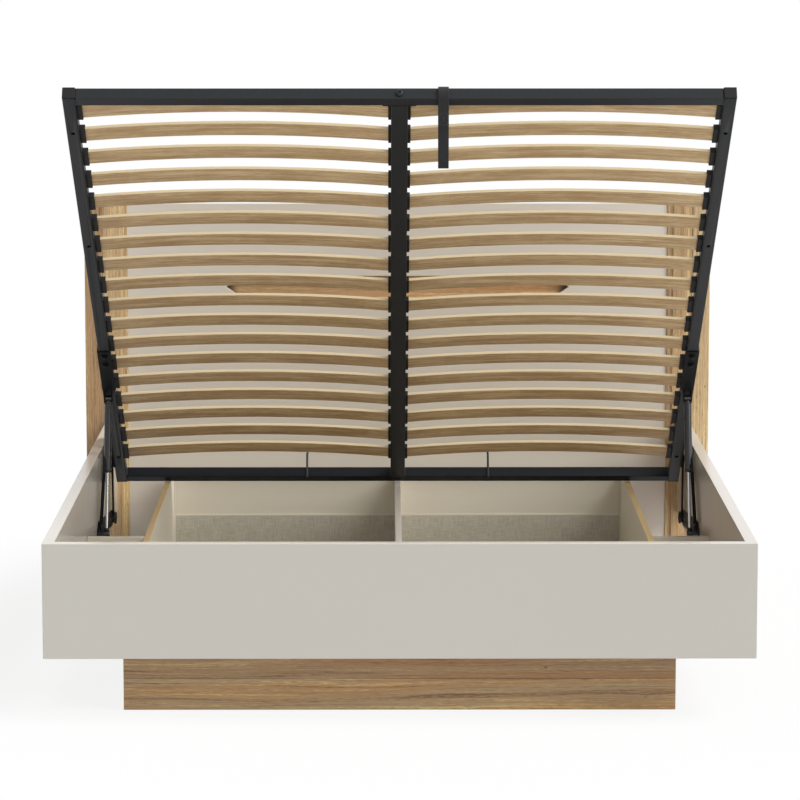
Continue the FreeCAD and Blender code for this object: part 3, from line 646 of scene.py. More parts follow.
def powder_coat(name, colour, rough=0.42, peel=0.5, shine=0.25):
    """Powder coat on steel, with orange peel and a few duller patches."""

    def build(place):
        skin = place.noise(*COAT_SKIN)
        speck = place.noise(*COAT_SPECK)
        patch = place.noise(*COAT_PATCH)
        base = (patch * 0.7 + speck * 0.3).mix(scaled(colour, 0.80), scaled(colour, 1.22))
        gloss = rough - 0.06 + patch * 0.16 + speck * 0.05
        height = skin * 0.7 + speck * 0.3
        return base, gloss, height.bump(COAT_DEPTH, peel)

    return finish(name, build, shine)


def moulded(name, colour, rough=0.52, grain=900.0):
    """Moulded plastic or rubber with a fine spark grain."""

    def build(place):
        spark = place.noise(grain, 3.0, 0.7)
        patch = place.noise(*MOULDED_PATCH)
        base = (spark * 0.5 + patch * 0.5).mix(scaled(colour, 0.72), scaled(colour, 1.30))
        gloss = rough + spark * 0.18 - patch * 0.06
        return base, gloss, spark.bump(*SPARK_RELIEF)

    return finish(name, build, shine=0.3)


def bare_metal(name, colour, rough, scratch, relief=0.15):
    """Plated steel with fine scratches and a cloudy plating."""
    dull = scaled(colour, 1 - relief)
    bright = scaled(colour, 1 + relief / 2)

    def build(place):
        lines = place.marks(*place.axes(), *PLATING_SCRATCHES)
        cloud = place.noise(*PLATING_CLOUD)
        base = (cloud * 0.6 + lines * 0.4).mix(dull, bright)
        gloss = rough + lines * scratch + cloud * scratch
        return base, gloss, lines.bump(SCRATCH_DEPTH, relief)

    return finish(name, build, metal=1.0)


def linen_print(name):
    """Linen-look board: crossed slubby threads."""
    light = tint("linen_light")
    dark = tint("linen_dark")

    def build(place):
        x, y, z = place.axes()
        up = y + z

        def threads(across, upward, layer, detail, rough):
            return place.vector(x * across, up * upward, layer).noise(1.0, detail, rough)

        warp = threads(*LINEN_WARP)
        weft = threads(*LINEN_WEFT)
        slub = threads(*LINEN_SLUB)
        cloud = threads(*LINEN_CLOUD)
        level = warp * 0.46 + weft * 0.44 + slub * 0.12 + cloud * 0.12
        base = level.ramp((0.44, dark), (0.58, scaled(light, 0.84)), (0.72, light))
        rough = 0.58 + weft * 0.2
        return base, rough, (warp + weft).bump(*LINEN_RELIEF)

    return finish(name, build, shine=0.3)


def plain_wood(name, light, dark, order):
    """Planed softwood for the hidden cleats, order names the axes along, across and through the grain."""

    def build(place):
        named = dict(zip("XYZ", place.axes()))
        grain = [named[letter] for letter in order]
        lines = place.marks(*grain, *PINE_LINES)
        fibres = place.marks(*grain, *PINE_FIBRES)
        base = (lines * 0.7 + fibres * 0.3).ramp((0.32, dark), (0.62, light))
        rough = 0.6 + fibres * 0.2
        return base, rough, fibres.bump(*PINE_RELIEF)

    return finish(name, build)


def webbing_weave(name):
    """Black herringbone webbing with selvedges."""
    half = sizes().strap_width / 2

    def build(place):
        x, y, z = place.axes()
        across = x - STRAP_OFFSET
        chevron = abs((across / CHEVRON).cell() - 0.5) * CHEVRON
        twill = ((z + chevron * TWILL_SLANT) * 2 * math.pi / TWILL_PITCH).sine() * 0.5 + 0.5
        cords = (across * 2 * math.pi / CORD_PITCH).sine() * 0.5 + 0.5
        fuzz = place.noise(*WEBBING_FUZZ)
        weave = abs(across).nearing(half, SELVEDGE).between(twill, cords)
        base = (weave * 0.7 + fuzz * 0.3).mix(tint("webbing", 0.60), tint("webbing", 1.45))
        rough = 0.66 + fuzz * 0.2
        return base, rough, (weave + fuzz * 0.4).bump(*WEAVE_RELIEF)

    return finish(name, build, shine=0.3, sheen=0.15)


def soften(node, edge, segments):
    """Rounds a CAD node's edges with modifiers, after its flat faces are joined up."""
    weld = node.modifiers.new("weld", "WELD")
    weld.merge_threshold = WELD_REACH
    flat = node.modifiers.new("flat", "DECIMATE")
    flat.decimate_type = "DISSOLVE"
    flat.angle_limit = FLAT_ANGLE
    soft = node.modifiers.new("edge", "BEVEL")
    soft.width = edge
    soft.segments = segments
    soft.limit_method = "ANGLE"
    soft.angle_limit = EDGE_ANGLE
    soft.use_clamp_overlap = False
    soft.harden_normals = True
    soft.miter_outer = "MITER_ARC"


def dress(names, material, edge=0.0, segments=2):
    """Gives CAD nodes a finish, with softly rounded edges."""
    for name in names:
        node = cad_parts[name]
        node.data.materials.clear()
        node.data.materials.append(material)
        if edge:
            soften(node, edge, segments)


def both(*stems):
    """Names of right-hand and left-hand nodes."""
    return [stem + side for stem in stems for side in ("_right", "_left")]


def added(name, data):
    """Object in the scene, made of a mesh, lamp or camera."""
    made = bpy.data.objects.new(name, data)
    bpy.context.scene.collection.objects.link(made)
    return made


def meshed(name, bm, material):
    """Object in the scene, made of a mesh with one finish."""
    mesh = bpy.data.meshes.new(name)
    bm.to_mesh(mesh)
    bm.free()
    mesh.materials.append(material)
    return added(name, mesh)


def piece(name, bm, material, body):
    """Makes a mesh into a smooth piece that rides a body."""
    bmesh.ops.recalc_face_normals(bm, faces=bm.faces)
    made = meshed(name, bm, material)
    for face in made.data.polygons:
        face.use_smooth = True
    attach(made, body)
    return made


def creased(made, degrees=40.0):
    """Keeps the piece's sharp edges sharp under smooth shading."""
    made.data.set_sharp_from_angle(angle=math.radians(degrees))
    return made


def turned(bm, rings, matrix, segments):
    """Turned form about local Z: rings of (radius or radius by angle, height), 0 closes the end."""
    loops = []
    for radius, height in rings:
        if radius == 0:
            loops.append([bm.verts.new(matrix @ Vector((0, 0, height)))])
            continue
        loop = []
        for index in range(segments):
            angle = 2 * math.pi * index / segments
            reach = radius(angle) if callable(radius) else radius
            spot = Vector((reach * math.cos(angle), reach * math.sin(angle), height))
            loop.append(bm.verts.new(matrix @ spot))
        loops.append(loop)
    for low, high in zip(loops, loops[1:]):
        for index in range(segments):
            after = (index + 1) % segments
            if len(low) == 1:
                bm.faces.new((low[0], high[index], high[after]))
            elif len(high) == 1:
                bm.faces.new((low[index], low[after], high[0]))
            else:
                bm.faces.new((low[index], low[after], high[after], high[index]))


def hexagon(flat):
    """Radius by angle of a hexagon, flat is half its width over flats."""
    sector = math.pi / 3
    return lambda angle: flat / math.cos((angle + sector / 2) % sector - sector / 2)


def crossed(long, short):
    """Radius by angle of a cross recess."""
    return lambda angle: short + (long - short) * abs(math.cos(2 * angle)) ** 6


def lobed(radius, depth, count):
    """Radius by angle of a lobed knob."""
    return lambda angle: radius + depth * math.cos(count * angle)


def facing(spot, direction):
    """Matrix at a spot whose Z looks in a direction."""
    turn = Vector(direction).to_track_quat("Z", "Y").to_matrix().to_4x4()
    return Matrix.Translation(spot) @ turn


def turned_pair(bm, rings, spot, way, segments):
    """Turned form at a spot of the right-hand side that looks a way, and its mirror image."""
    for side in (1, -1):
        seat = Vector((side * spot[0], spot[1], spot[2]))
        turned(bm, rings, facing(seat, (side * way[0], way[1], way[2])), segments)


def lifted(rings, rise):
    """The rings of a turned form, further along its axis."""
    return [(radius, rise + height) for radius, height in rings]


# Turned fittings: radius of each ring, or its radius by angle, and height over the seat, metres
SCREW_HEAD = (
    (0.0047, -0.0022), (0.0047, 0), (0.0042, 0.0007), (0.0031, 0.0011),
    (crossed(0.0026, 0.0008), 0.0012), (crossed(0.0022, 0.0007), -0.0002), (0, -0.0004),
)
RAIL_BOLT_SOCKET = (
    (0.0079, -0.001), (0.0079, 0.0012), (0.0074, 0.0016), (hexagon(0.004), 0.0016),
    (hexagon(0.004), -0.0004), (0, -0.0006),
)
BRACKET_BOLT_HEAD = (
    (0.0095, 0), (0.0095, 0.0012), (0.0088, 0.0015), (hexagon(0.0062), 0.0015),
    (hexagon(0.0062), 0.0052), (0.0054, 0.0060), (0, 0.0062),
)

# Gas spring fittings, in turn from the top pivot, the crimp's start, the cylinder's mouth and the foot
COLLAR_NUT = (
    (0.0061, 0.0095), (hexagon(0.0072), 0.0097), (hexagon(0.0072), 0.0148), (0.0066, 0.0158),
)
CRIMP = (
    (0.0098, 0), (0.0104, 0.0008), (0.0105, 0.0022), (0.0104, 0.0036), (0.0098, 0.0044),
)
ROD_SEAL = (
    (0.0101, -0.005), (0.0107, -0.0042), (0.0107, 0.0010), (0.0096, 0.0020), (0.0062, 0.0026),
    (0.0047, 0.0034), (0.00415, 0.0034),
)
ROD_NUT = (
    (0.0042, -0.0165), (0.0056, -0.0161), (0.0058, -0.0147), (hexagon(0.0066), -0.0145),
    (hexagon(0.0066), -0.0095), (0.0062, -0.0080),
)

# The rod's eye on its stud: the closed end towards the bed's middle and the open end over the stud
EYE_RIM = (
    (0.0093, -0.0006), (0.0088, 0.0001), (0.0070, 0.00025),
)
EYE_CLOSED = (
    (0.0093, -0.0165), *EYE_RIM, (0.0066, -0.0004), (0, -0.0006),
)
EYE_OPEN = (
    (0.0093, -0.002), *EYE_RIM, (0.0055, 0.0002),
)


def socket_head(radius, height, drive):
    """Rings of a domed head with a hexagon socket, drive is half its width over flats."""
    socket = hexagon(drive)
    return [
        (radius, -0.0004),
        (radius, height * 0.35),
        (radius * 0.93, height * 0.62),
        (radius * 0.76, height * 0.88),
        (radius * 0.56, height),
        (socket, height * 0.99),
        (socket, height * 0.35),
        (0, height * 0.30),
    ]


def rivet_head(radius, height):
    """Rings of a flat rivet head with a dimple."""
    return [
        (radius, -0.0001),
        (radius, height * 0.55),
        (radius * 0.9, height * 0.88),
        (radius * 0.6, height),
        (radius * 0.35, height * 0.96),
        (radius * 0.2, height * 0.8),
        (0, height * 0.78),
    ]


def pivot_cap(radius, height):
    """Rings of a lobed cap with a dished top."""
    grip = lobed(radius, radius * 0.07, CAP_LOBES)
    return [
        (CAP_FOOT, 0),
        (grip, height * 0.09),
        (grip, height * 0.66),
        (lobed(radius * 0.9, radius * 0.06, CAP_LOBES), height * 0.91),
        (radius * 0.55, height),
        (radius * 0.42, height * 0.85),
        (0, height * 0.82),
    ]


def bead(bm, start, end, radius):
    """Rippled weld bead from one point to another."""
    run = end - start
    count = max(6, int(run.length / BEAD_RIPPLE))
    rings = [(0, -radius * 0.5)]
    for index in range(count + 1):
        share = index / count
        ripple = 1 + 0.14 * math.sin(index * 2.1)
        taper = min(1.0, 0.45 + 4 * min(share, 1 - share))
        rings.append((radius * ripple * taper, run.length * share))
    rings.append((0, run.length + radius * 0.5))
    turned(bm, rings, facing(start, run), BEAD_STEPS)


class BED_OT_surround(bpy.types.Operator):
    """Finishes the foot panel, the side rails and the corner angles"""

    bl_idname = "bed.surround"
    bl_label = "Surround"

    def execute(self, context):
        size = sizes()
        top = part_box("foot_panel")[1].z
        panel = laminate("panel_laminate", tint("greige"), rough=0.26, band=top)
        dress(["foot_panel"], panel, size.board_edge)
        rails = laminate("rail_laminate", tint("greige"), rough=0.18, band=top, shine=0.3)
        dress(both("side_rail"), rails, size.board_edge)
        dress(["corner_angles"], powder_coat("angle_grey", tint("angle")), size.plate_edge)
        return {"FINISHED"}


class BED_OT_headboard(bpy.types.Operator):
    """Finishes the headboard's posts, panel, recess and battens"""

    bl_idname = "bed.headboard"
    bl_label = "Headboard"

    def execute(self, context):
        edge = sizes().board_edge
        posts = oak(
            "post_oak", "ZXY", POST_BOARD, tone=1.23, joint=0.0, first=POST_BOARD, seed=POST_SEED, blush=0.0
        )
        dress(both("headboard_post"), posts, edge)
        dress(["headboard_panel"], laminate("headboard_laminate", tint("headboard")), edge)
        tips = (RECESS_TIP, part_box("recess_lining")[0].y)
        # Painted light: tone=1.5 paints the recess lining lighter, against the shade inside the recess
        recess = oak("recess_oak", "XZY", RECESS_BOARD, tone=1.5, joint=0.0, tips=tips)
        dress(["recess_lining"], recess, edge)
        dress(["headboard_battens"], laminate("batten_laminate", tint("divider")), edge)
        return {"FINISHED"}


class BED_OT_plinth(bpy.types.Operator):
    """Finishes the plinth, its storage bays and the spreaders"""

    bl_idname = "bed.plinth"
    bl_label = "Plinth"

    def execute(self, context):
        size = sizes()
        boards = {"plank": PLINTH_BOARD, "first": PLINTH_BOARD_START, "seed": PLINTH_SEED}
        dress(["plinth_front"], oak("plinth_oak", "XZY", **boards), size.board_edge)
        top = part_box("centre_divider")[1].z
        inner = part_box("plinth_side_right")[0].x
        sides = oak("side_oak", "YZX", inside=inner, lit_crest=top, **boards)
        dress(both("plinth_side"), sides, size.board_edge)
        wall = laminate("wall_laminate", tint("lining"))
        dress(["plinth_back", "lining_beads"], wall, size.plate_edge)
        dress(both("spreader_front", "spreader_middle"), wall, size.board_edge)
        dress(["centre_divider"], laminate("divider_laminate", tint("divider"), band=top), size.board_edge)
        dress(["storage_floors", "back_linings"], linen_print("linen_print"), size.plate_edge)
        pine = plain_wood("cleat_pine", tint("pine_light"), tint("pine_dark"), "YXZ")
        dress(["floor_cleats"], pine, size.holder_edge)
        rubber = moulded("pad_rubber", tint("rubber"), rough=0.66, grain=500.0)
        dress(["rest_pads"], rubber, size.plate_edge)
        return {"FINISHED"}


class BED_OT_slats(bpy.types.Operator):
    """Finishes the two rows of slats"""

    bl_idname = "bed.slats"
    bl_label = "Slats"

    def execute(self, context):
        dress(both("slats"), slat_wood("slat_staves"), sizes().slat_edge)
        return {"FINISHED"}


class BED_OT_frame(bpy.types.Operator):
    """Finishes the tube frame, mattress stop, slat holders and caps"""

    bl_idname = "bed.tube_frame"
    bl_label = "Tube frame"

    def execute(self, context):
        size = sizes()
        coat = powder_coat("tube_coat", tint("steel"))
        dress(both("side_tube") + ["foot_tube", "centre_beam"], coat, size.tube_edge, 3)
        # Painted shade: the head tube gets a darker copy of the tube coat, as if in shade
        shaded = powder_coat("head_tube_coat", tint("steel", 0.6), shine=0.12)
        dress(["head_tube"], shaded, size.tube_edge, 3)
        dress(["mattress_stop"], coat)
        plastic = moulded("holder_plastic", tint("plastic"))
        dress(both("slat_holders") + ["slat_holders_centre"], plastic, size.holder_edge)
        caps = moulded("cap_plastic", tint("plastic", 1.5), rough=0.6, grain=420.0)
        dress(["tube_caps"], caps, size.cap_edge, 3)
        return {"FINISHED"}


class BED_OT_lift(bpy.types.Operator):
    """Finishes the lift's plates, links, pins and gas springs, and the bed's screws and bolts"""

    bl_idname = "bed.lift"
    bl_label = "Lift"

    def execute(self, context):
        plate = powder_coat("lift_coat", tint("steel", 0.4), rough=0.44, shine=0.09)
        plates = both("lift_base", "front_link", "rear_link", "lift_bracket", "gas_clevis")
        dress(plates, plate, sizes().plate_edge)
        zinc = bare_metal("zinc_plate", tint("zinc"), rough=0.26, scratch=0.12)
        dress(["corner_screws", "rail_bolts", "base_pins", "base_screws"], zinc)
        dark = bare_metal("black_bolt", tint("bolt"), rough=0.30, scratch=0.10)
        dress(["rear_link_rivets", "centre_bolt", "frame_pins", "bracket_bolts"], dark)
        dress(["gas_pins", "gas_studs"], dark)
        paint = powder_coat("cylinder_black", tint("cylinder"), rough=0.20, peel=0.08, shine=0.5)
        dress(both("gas_cylinder"), paint)
        chrome = bare_metal("rod_chrome", tint("rod"), rough=0.22, scratch=0.03, relief=0.02)
        dress(both("gas_rod"), chrome)
        return {"FINISHED"}


class BED_OT_fastenings(bpy.types.Operator):
    """Adds the heads of bolts, screws, rivets and pins, and the pivot caps"""

    bl_idname = "bed.fastenings"
    bl_label = "Fastenings"

    def execute(self, context):
        finishes = bpy.data.materials
        self.base_heads(finishes["zinc_plate"])
        self.base_caps(moulded("pivot_cap_plastic", tint("pivot_cap"), rough=0.42, grain=700.0))
        self.frame_heads(finishes["tube_coat"], finishes["lift_coat"])
        self.link_heads(finishes["black_bolt"])
        return {"FINISHED"}

    def base_heads(self, zinc):
        """Screw heads on the corner angles and bolt sockets behind the posts."""
        bm = bmesh.new()
        low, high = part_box("corner_angles")
        rise = high.z - low.z
        for share in ANGLE_SCREW_SHARES:
            height = low.z + rise * share
            spot = (high.x - ANGLE_SCREW_IN, low.y + ANGLE_FACE, height)
            turned_pair(bm, SCREW_HEAD, spot, BACKWARD, ROUND_STEPS)
            spot = (high.x - ANGLE_FACE, low.y + ANGLE_SCREW_IN, height)
            turned_pair(bm, SCREW_HEAD, spot, INWARD, ROUND_STEPS)
        creased(piece("corner_screw_heads", bm, zinc, "bed_base"))
        bm = bmesh.new()
        low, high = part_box("rail_bolts")
        for height in (low.z + RAIL_BOLT_RADIUS, high.z - RAIL_BOLT_RADIUS):
            spot = (RAIL_BOLT_ACROSS, high.y - RAIL_BOLT_SINK, height)
            turned_pair(bm, RAIL_BOLT_SOCKET, spot, BACKWARD, HEX_STEPS)
        creased(piece("rail_bolt_sockets", bm, zinc, "bed_base"))

    def base_caps(self, cap):
        """Caps on the lower pivots of the links."""
        bm = bmesh.new()
        for pivot, radius, height in PIVOT_CAPS:
            spot = (LINK_INNER - CAP_SINK, pivot.y, pivot.z)
            turned_pair(bm, pivot_cap(radius, height), spot, INWARD, HEX_STEPS)
        creased(piece("pivot_caps", bm, cap, "bed_base"), 50)

    def frame_heads(self, coat, plate):
        """Centre bolt, bracket bolts and pin heads on the slatted frame."""
        turn = RAISED.to_3x3()
        bm = bmesh.new()
        seat = RAISED @ Vector((0, -FRAME_LENGTH - CENTRE_BOLT_SEAT, TUBE / 2))
        turned(bm, socket_head(*CENTRE_BOLT), facing(seat, turn @ Vector((0, -1, 0))), HEX_STEPS)
        creased(piece("centre_bolt_head", bm, coat, "slat_frame"))
        bm = bmesh.new()
        for distance in BRACKET_BOLTS:
            for side in (1, -1):
                seat = RAISED @ Vector((side * (FRAME_HALF - TUBE / 2), -distance, BRACKET_UNDERSIDE))
                turned(bm, BRACKET_BOLT_HEAD, facing(seat, turn @ Vector((0, 0, -1))), HEX_STEPS)
        spot = (LINK_OUTER + PIN_HEAD_SEAT, FRONT_TOP.y, FRONT_TOP.z)
        turned_pair(bm, rivet_head(RIVET_RADIUS, PIN_HEAD_HEIGHT), spot, OUTWARD, ROUND_STEPS)
        creased(piece("frame_bolt_heads", bm, plate, "slat_frame"))

    def link_heads(self, dark):
        """Rivet heads on the rear links."""
        bm = bmesh.new()
        spot = (LINK_OUTER - RIVET_SINK, REAR_TOP.y, REAR_TOP.z)
        turned_pair(bm, rivet_head(RIVET_RADIUS, RIVET_HEIGHT), spot, OUTWARD, ROUND_STEPS)
        creased(piece("rear_rivet_heads", bm, dark, "rear_links"))


class BED_OT_welds(bpy.types.Operator):
    """Adds the weld beads where the frame's tubes and its beam meet"""

    bl_idname = "bed.welds"
    bl_label = "Weld beads"

    def execute(self, context):
        bm = bmesh.new()
        across = FRAME_HALF - TUBE
        foot = FRAME_LENGTH - TUBE
        for start, inner in ((0.0, TUBE), (foot, foot)):
            for side in (1, -1):
                x = side * across
                for height in (-BEAD_LIFT, TUBE + BEAD_LIFT):
                    self.seam(bm, (x, -start - BEAD_END, height), (x, -start - TUBE + BEAD_END, height))
                self.seam(bm, (x, -inner, BEAD_END), (x, -inner, TUBE - BEAD_END))
        for x in (BEAM_HALF, -BEAM_HALF):
            self.seam(bm, (x, -TUBE, BEAD_END), (x, -TUBE, TUBE - BEAD_END))
        self.seam(bm, (-BEAM_BEAD_HALF, -TUBE, -BEAD_LIFT), (BEAM_BEAD_HALF, -TUBE, -BEAD_LIFT))
        piece("weld_beads", bm, bpy.data.materials["tube_coat"], "slat_frame")
        return {"FINISHED"}

    def seam(self, bm, first, last):
        """One bead between two points of the slatted frame."""
        bead(bm, RAISED @ Vector(first), RAISED @ Vector(last), BEAD_RADIUS)


class BED_OT_gas_fittings(bpy.types.Operator):
    """Adds the collars, seals and end fittings of the gas springs"""

    bl_idname = "bed.gas_fittings"
    bl_label = "Gas spring fittings"

    def execute(self, context):
        run = GAS_FOOT - GAS_TOP
        black = moulded("seal_plastic", tint("seal"), rough=0.38, grain=800.0)
        steel = bpy.data.materials["black_bolt"]
        paint = bpy.data.materials["cylinder_black"]
        collars = bmesh.new()
        seals = bmesh.new()
        ends = bmesh.new()
        for side in (1, -1):
            matrix = facing(Vector((side * GAS_CENTRE, GAS_TOP.y, GAS_TOP.z)), run.normalized())
            turned(collars, COLLAR_NUT, matrix, HEX_STEPS)
            turned(collars, lifted(CRIMP, GAS_BODY_LENGTH - CRIMP_BACK), matrix, HEX_STEPS)
            turned(seals, lifted(ROD_SEAL, GAS_BODY_LENGTH), matrix, HEX_STEPS)
            turned(ends, lifted(ROD_NUT, run.length), matrix, HEX_STEPS)
            for way in (1, -1):
                spot = Vector((side * GAS_CENTRE + way * EYE_HALF, GAS_FOOT.y, GAS_FOOT.z))
                eye = EYE_CLOSED if way * side < 0 else EYE_OPEN
                turned(ends, eye, facing(spot, (way, 0, 0)), ROUND_STEPS)
        creased(piece("gas_collars", collars, paint, "gas_cylinders"))
        creased(piece("gas_rod_seals", seals, black, "gas_cylinders"))
        creased(piece("gas_rod_ends", ends, steel, "gas_rods"))
        return {"FINISHED"}


class BED_OT_strap(bpy.types.Operator):
    """Adds the webbing pull strap with its sewn lap"""

    bl_idname = "bed.pull_strap"
    bl_label = "Pull strap"

    def execute(self, context):
        size = sizes()
        material = webbing_weave("strap_webbing")
        path = self.loop(size.strap_thickness / 2)
        lap = self.lap(path, size.strap_thickness)
        bm = bmesh.new()
        self.band(bm, path, size.strap_width, size.strap_thickness, True)
        self.band(bm, lap, size.strap_width * LAP_WIDTH, size.strap_thickness * LAP_THICKNESS, False)
        strap = creased(piece("strap_webbing", bm, material, "strap"), 50)
        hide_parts("pull_strap")
        length = sum((b - a).length for a, b in zip(path, path[1:] + path[:1]))
        length += sum((b - a).length for a, b in zip(lap, lap[1:]))
        bm = bmesh.new()
        self.stitches(bm, lap, size.strap_width, size.strap_thickness)
        thread = moulded("strap_thread", tint("thread"), rough=0.6, grain=2500.0)
        sewn = piece("strap_stitches", bm, thread, "strap")
        return {"FINISHED"}

    def loop(self, half):
        """Middle line of the webbing: over the tube, down to a flat fold and back."""
        top = STRAP_TOP_RADIUS + half + STRAP_ROOM
        tip = STRAP_TIP_RADIUS + half
        lean = math.asin((top - tip) / STRAP_DROP)
        low = FOOT_TUBE_CENTRE - Vector((0, 0, STRAP_DROP))
        over = self.arc(FOOT_TUBE_CENTRE, top, math.pi + lean, math.pi + 2 * lean, TUBE_STEPS)
        fold = self.arc(low, tip, -lean, math.pi - 2 * lean, FOLD_STEPS)
        return over + self.leg(over[-1], fold[0]) + fold + self.leg(fold[-1], over[0])

    def arc(self, centre, radius, start, sweep, steps):
        """Points round a centre, from an angle down through a sweep."""
        points = []
        for index in range(steps + 1):
            angle = start - sweep * index / steps
            points.append(centre + Vector((0, radius * math.cos(angle), radius * math.sin(angle))))
        return points

    def leg(self, first, last):
        """Points of a straight leg, without its ends."""
        return [first.lerp(last, (index + 1) / (LEG_STEPS + 1)) for index in range(LEG_STEPS)]

    def lap(self, path, thickness):
        """Outer layer on the front leg, where the webbing's ends overlap."""
        high = FOOT_TUBE_CENTRE.z - LAP_TOP
        low = FOOT_TUBE_CENTRE.z - LAP_FOOT
        front = [spot for spot in path if spot.y < FOOT_TUBE_CENTRE.y and low < spot.z < high]
        front.sort(key=lambda spot: -spot.z)
        lifts = [LAP_END_LIFT] + [LAP_LIFT] * (len(front) - 1)
        return [spot + LAP_OUTWARD * thickness * lift for spot, lift in zip(front, lifts)]

    def band(self, bm, path, width, thickness, closed):
        """Flat band along a line in a plane of constant X, with rounded selvedges."""
        count = len(path)
        half = width / 2
        rings = []
        for index, spot in enumerate(path):
            if closed:
                before, after = path[index - 1], path[(index + 1) % count]
            else:
                before, after = path[max(0, index - 1)], path[min(count - 1, index + 1)]
            run = (after - before).normalized()
            out = Vector((0, -run.z, run.y))
            rings.append([
                bm.verts.new(spot + Vector((STRAP_OFFSET + half * across, 0, 0)) + out * thickness * up)
                for across, up in WEBBING_SECTION
            ])
        pairs = list(zip(rings, rings[1:]))
        if closed:
            pairs.append((rings[-1], rings[0]))
        sides = len(WEBBING_SECTION)
        for first, last in pairs:
            for index in range(sides):
                after = (index + 1) % sides
                bm.faces.new((first[index], first[after], last[after], last[index]))
        if not closed:
            bm.faces.new(rings[0])
            bm.faces.new(rings[-1][::-1])

    def stitches(self, bm, lap, width, thickness):
        """Box and cross of stitches on the lap."""
        top, low = lap[1], lap[-2]
        half = width / 2 - STITCH_IN
        corners = [
            spot + Vector((STRAP_OFFSET + side * half, 0, 0)) + LAP_OUTWARD * thickness * 0.5
            for spot, side in ((top, -1), (top, 1), (low, 1), (low, -1))
        ]
        for first, last in ((0, 1), (1, 2), (2, 3), (3, 0), (0, 2), (1, 3)):
            start = corners[first]
            run = corners[last] - start
            count = max(4, int(run.length / STITCH_PITCH))
            reach = run.length / count * 0.36
            thread = [(STITCH_RADIUS * bulge, reach * share) for bulge, share in STITCH_FORM]
            for index in range(count):
                spot = start + run * ((index + 0.5) / count)
                turned(bm, thread, facing(spot, run), STITCH_STEPS)


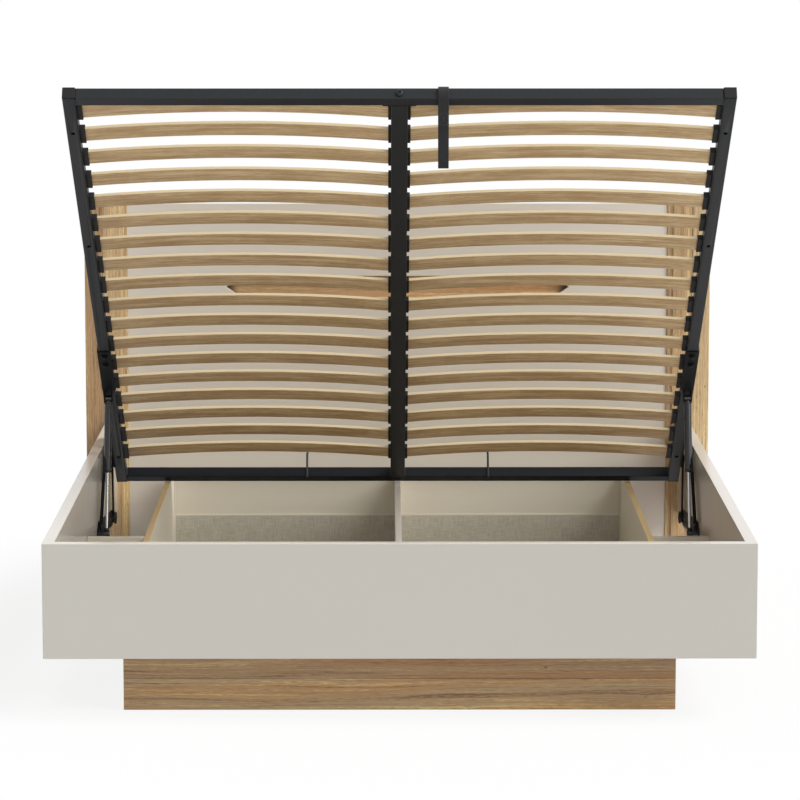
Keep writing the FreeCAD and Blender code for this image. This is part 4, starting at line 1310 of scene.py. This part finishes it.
class BED_OT_stage(bpy.types.Operator):
    """Sets up the floor, lamps, background and camera"""

    bl_idname = "bed.stage"
    bl_label = "Stage"

    def execute(self, context):
        scene = context.scene
        self.floor()
        self.background(scene)
        self.lamp("key_lamp", KEY_PLACE, KEY_SPREAD, sizes().key_strength)
        self.lamp("front_lamp", FRONT_PLACE, FRONT_SPREAD, sizes().front_strength)
        self.camera(scene)
        scene.view_settings.view_transform = "Standard"
        return {"FINISHED"}

    def seen(self, tree):
        """1 for rays from the camera, a mirror or through glass."""
        rays = ("Is Camera Ray", "Is Glossy Ray", "Is Transmission Ray")
        camera, glossy, clear = (Wire(tree).node("ShaderNodeLightPath", None, None, name) for name in rays)
        return camera.maths("MAXIMUM", camera.maths("MAXIMUM", camera, glossy), clear)

    def floor(self):
        """Pale floor that keeps the bed's shadow and turns white further out."""
        material = bpy.data.materials.new("studio_floor")
        material.use_nodes = True
        tree = material.node_tree
        tree.nodes.remove(tree.nodes["Principled BSDF"])
        seen = self.seen(tree)
        place = seen.node("ShaderNodeTexCoord", None, None, "Object")
        mottle = place.noise(*FLOOR_MOTTLE)
        pale = (mottle * 0.04).mix(tint("floor"), tint("floor", 0.9))
        ground = seen.node("ShaderNodeBsdfDiffuse", None, {"Color": seen.mix(pale, WHITE)})
        white = seen.node("ShaderNodeEmission", None, {"Color": WHITE, "Strength": 1.0})
        away = place.node("ShaderNodeVectorMath", {"operation": "LENGTH"}, {0: place}, 1)
        share = sizes().shadow_share
        far = (away.step(*FLOOR_FADE) * share + (1 - share)) * seen
        mixed = seen.node("ShaderNodeMixShader", None, {0: far, 1: ground, 2: white})
        tree.links.new(mixed.socket, tree.nodes["Material Output"].inputs["Surface"])
        bm = bmesh.new()
        half = sizes().floor_size / 2
        bmesh.ops.create_grid(bm, x_segments=FLOOR_CELLS, y_segments=FLOOR_CELLS, size=half)
        made = meshed("floor", bm, material)
        made.location.z = -FLOOR_DROP

    def background(self, scene):
        """White to the camera, even soft light to the bed."""
        world = bpy.data.worlds.new("studio")
        world.use_nodes = True
        tree = world.node_tree
        back = tree.nodes["Background"]
        fill = sizes().fill_strength
        level = self.seen(tree) * (1.0 - fill) + fill
        back.inputs["Color"].default_value = (*WHITE, 1.0)
        tree.links.new(level.socket, back.inputs["Strength"])
        scene.world = world

    def lamp(self, name, spot, spread, strength):
        """Even lamp with soft shadows that looks at the bed."""
        data = bpy.data.lights.new(name, "SUN")
        data.angle = math.radians(spread)
        data.energy = strength
        made = added(name, data)
        made.location = spot
        made.rotation_mode = "QUATERNION"
        made.rotation_quaternion = (LAMP_AIM - Vector(spot)).to_track_quat("-Z", "Y")

    def camera(self, scene):
        """Camera at the photograph's viewing angle."""
        data = bpy.data.cameras.new("camera")
        data.sensor_width = CAMERA_SENSOR
        data.lens = CAMERA_LENS
        made = added("camera", data)
        made.location = CAMERA_PLACE
        made.rotation_euler = (math.radians(90 - CAMERA_DIP), 0, math.radians(CAMERA_TURN))
        scene.camera = made


OPERATORS = (
    BED_OT_surround,
    BED_OT_headboard,
    BED_OT_plinth,
    BED_OT_slats,
    BED_OT_frame,
    BED_OT_lift,
    BED_OT_fastenings,
    BED_OT_welds,
    BED_OT_gas_fittings,
    BED_OT_strap,
    BED_OT_stage,
)


class BED_PT_dressing(bpy.types.Panel):
    """Lists the bed's dressing steps and settings"""

    bl_label = "Bed dressing"
    bl_idname = "BED_PT_dressing"
    bl_space_type = "VIEW_3D"
    bl_region_type = "UI"
    bl_category = "Bed"

    def draw(self, context):
        for operator in OPERATORS:
            self.layout.operator(operator.bl_idname)
        for group in (context.scene.bed_colours, context.scene.bed_sizes):
            for key in group.bl_rna.properties.keys():
                if key not in ("rna_type", "name"):
                    self.layout.prop(group, key)


CLASSES = (BedColours, BedSizes, *OPERATORS, BED_PT_dressing)


def register():
    """Adds the classes and the scene's settings."""
    for cls in CLASSES:
        bpy.utils.register_class(cls)
    bpy.types.Scene.bed_colours = bpy.props.PointerProperty(type=BedColours)
    bpy.types.Scene.bed_sizes = bpy.props.PointerProperty(type=BedSizes)


def unregister():
    """Takes the classes and the scene's settings away."""
    del bpy.types.Scene.bed_sizes
    del bpy.types.Scene.bed_colours
    for cls in reversed(CLASSES):
        bpy.utils.unregister_class(cls)


def main():
    """Dresses the bed step by step."""
    register()
    bpy.ops.bed.surround()
    bpy.ops.bed.headboard()
    bpy.ops.bed.plinth()
    bpy.ops.bed.slats()
    bpy.ops.bed.tube_frame()
    bpy.ops.bed.lift()
    bpy.ops.bed.fastenings()
    bpy.ops.bed.welds()
    bpy.ops.bed.gas_fittings()
    bpy.ops.bed.pull_strap()
    bpy.ops.bed.stage()
    bpy.context.view_layer.update()


if __name__ == "__main__":
    main()
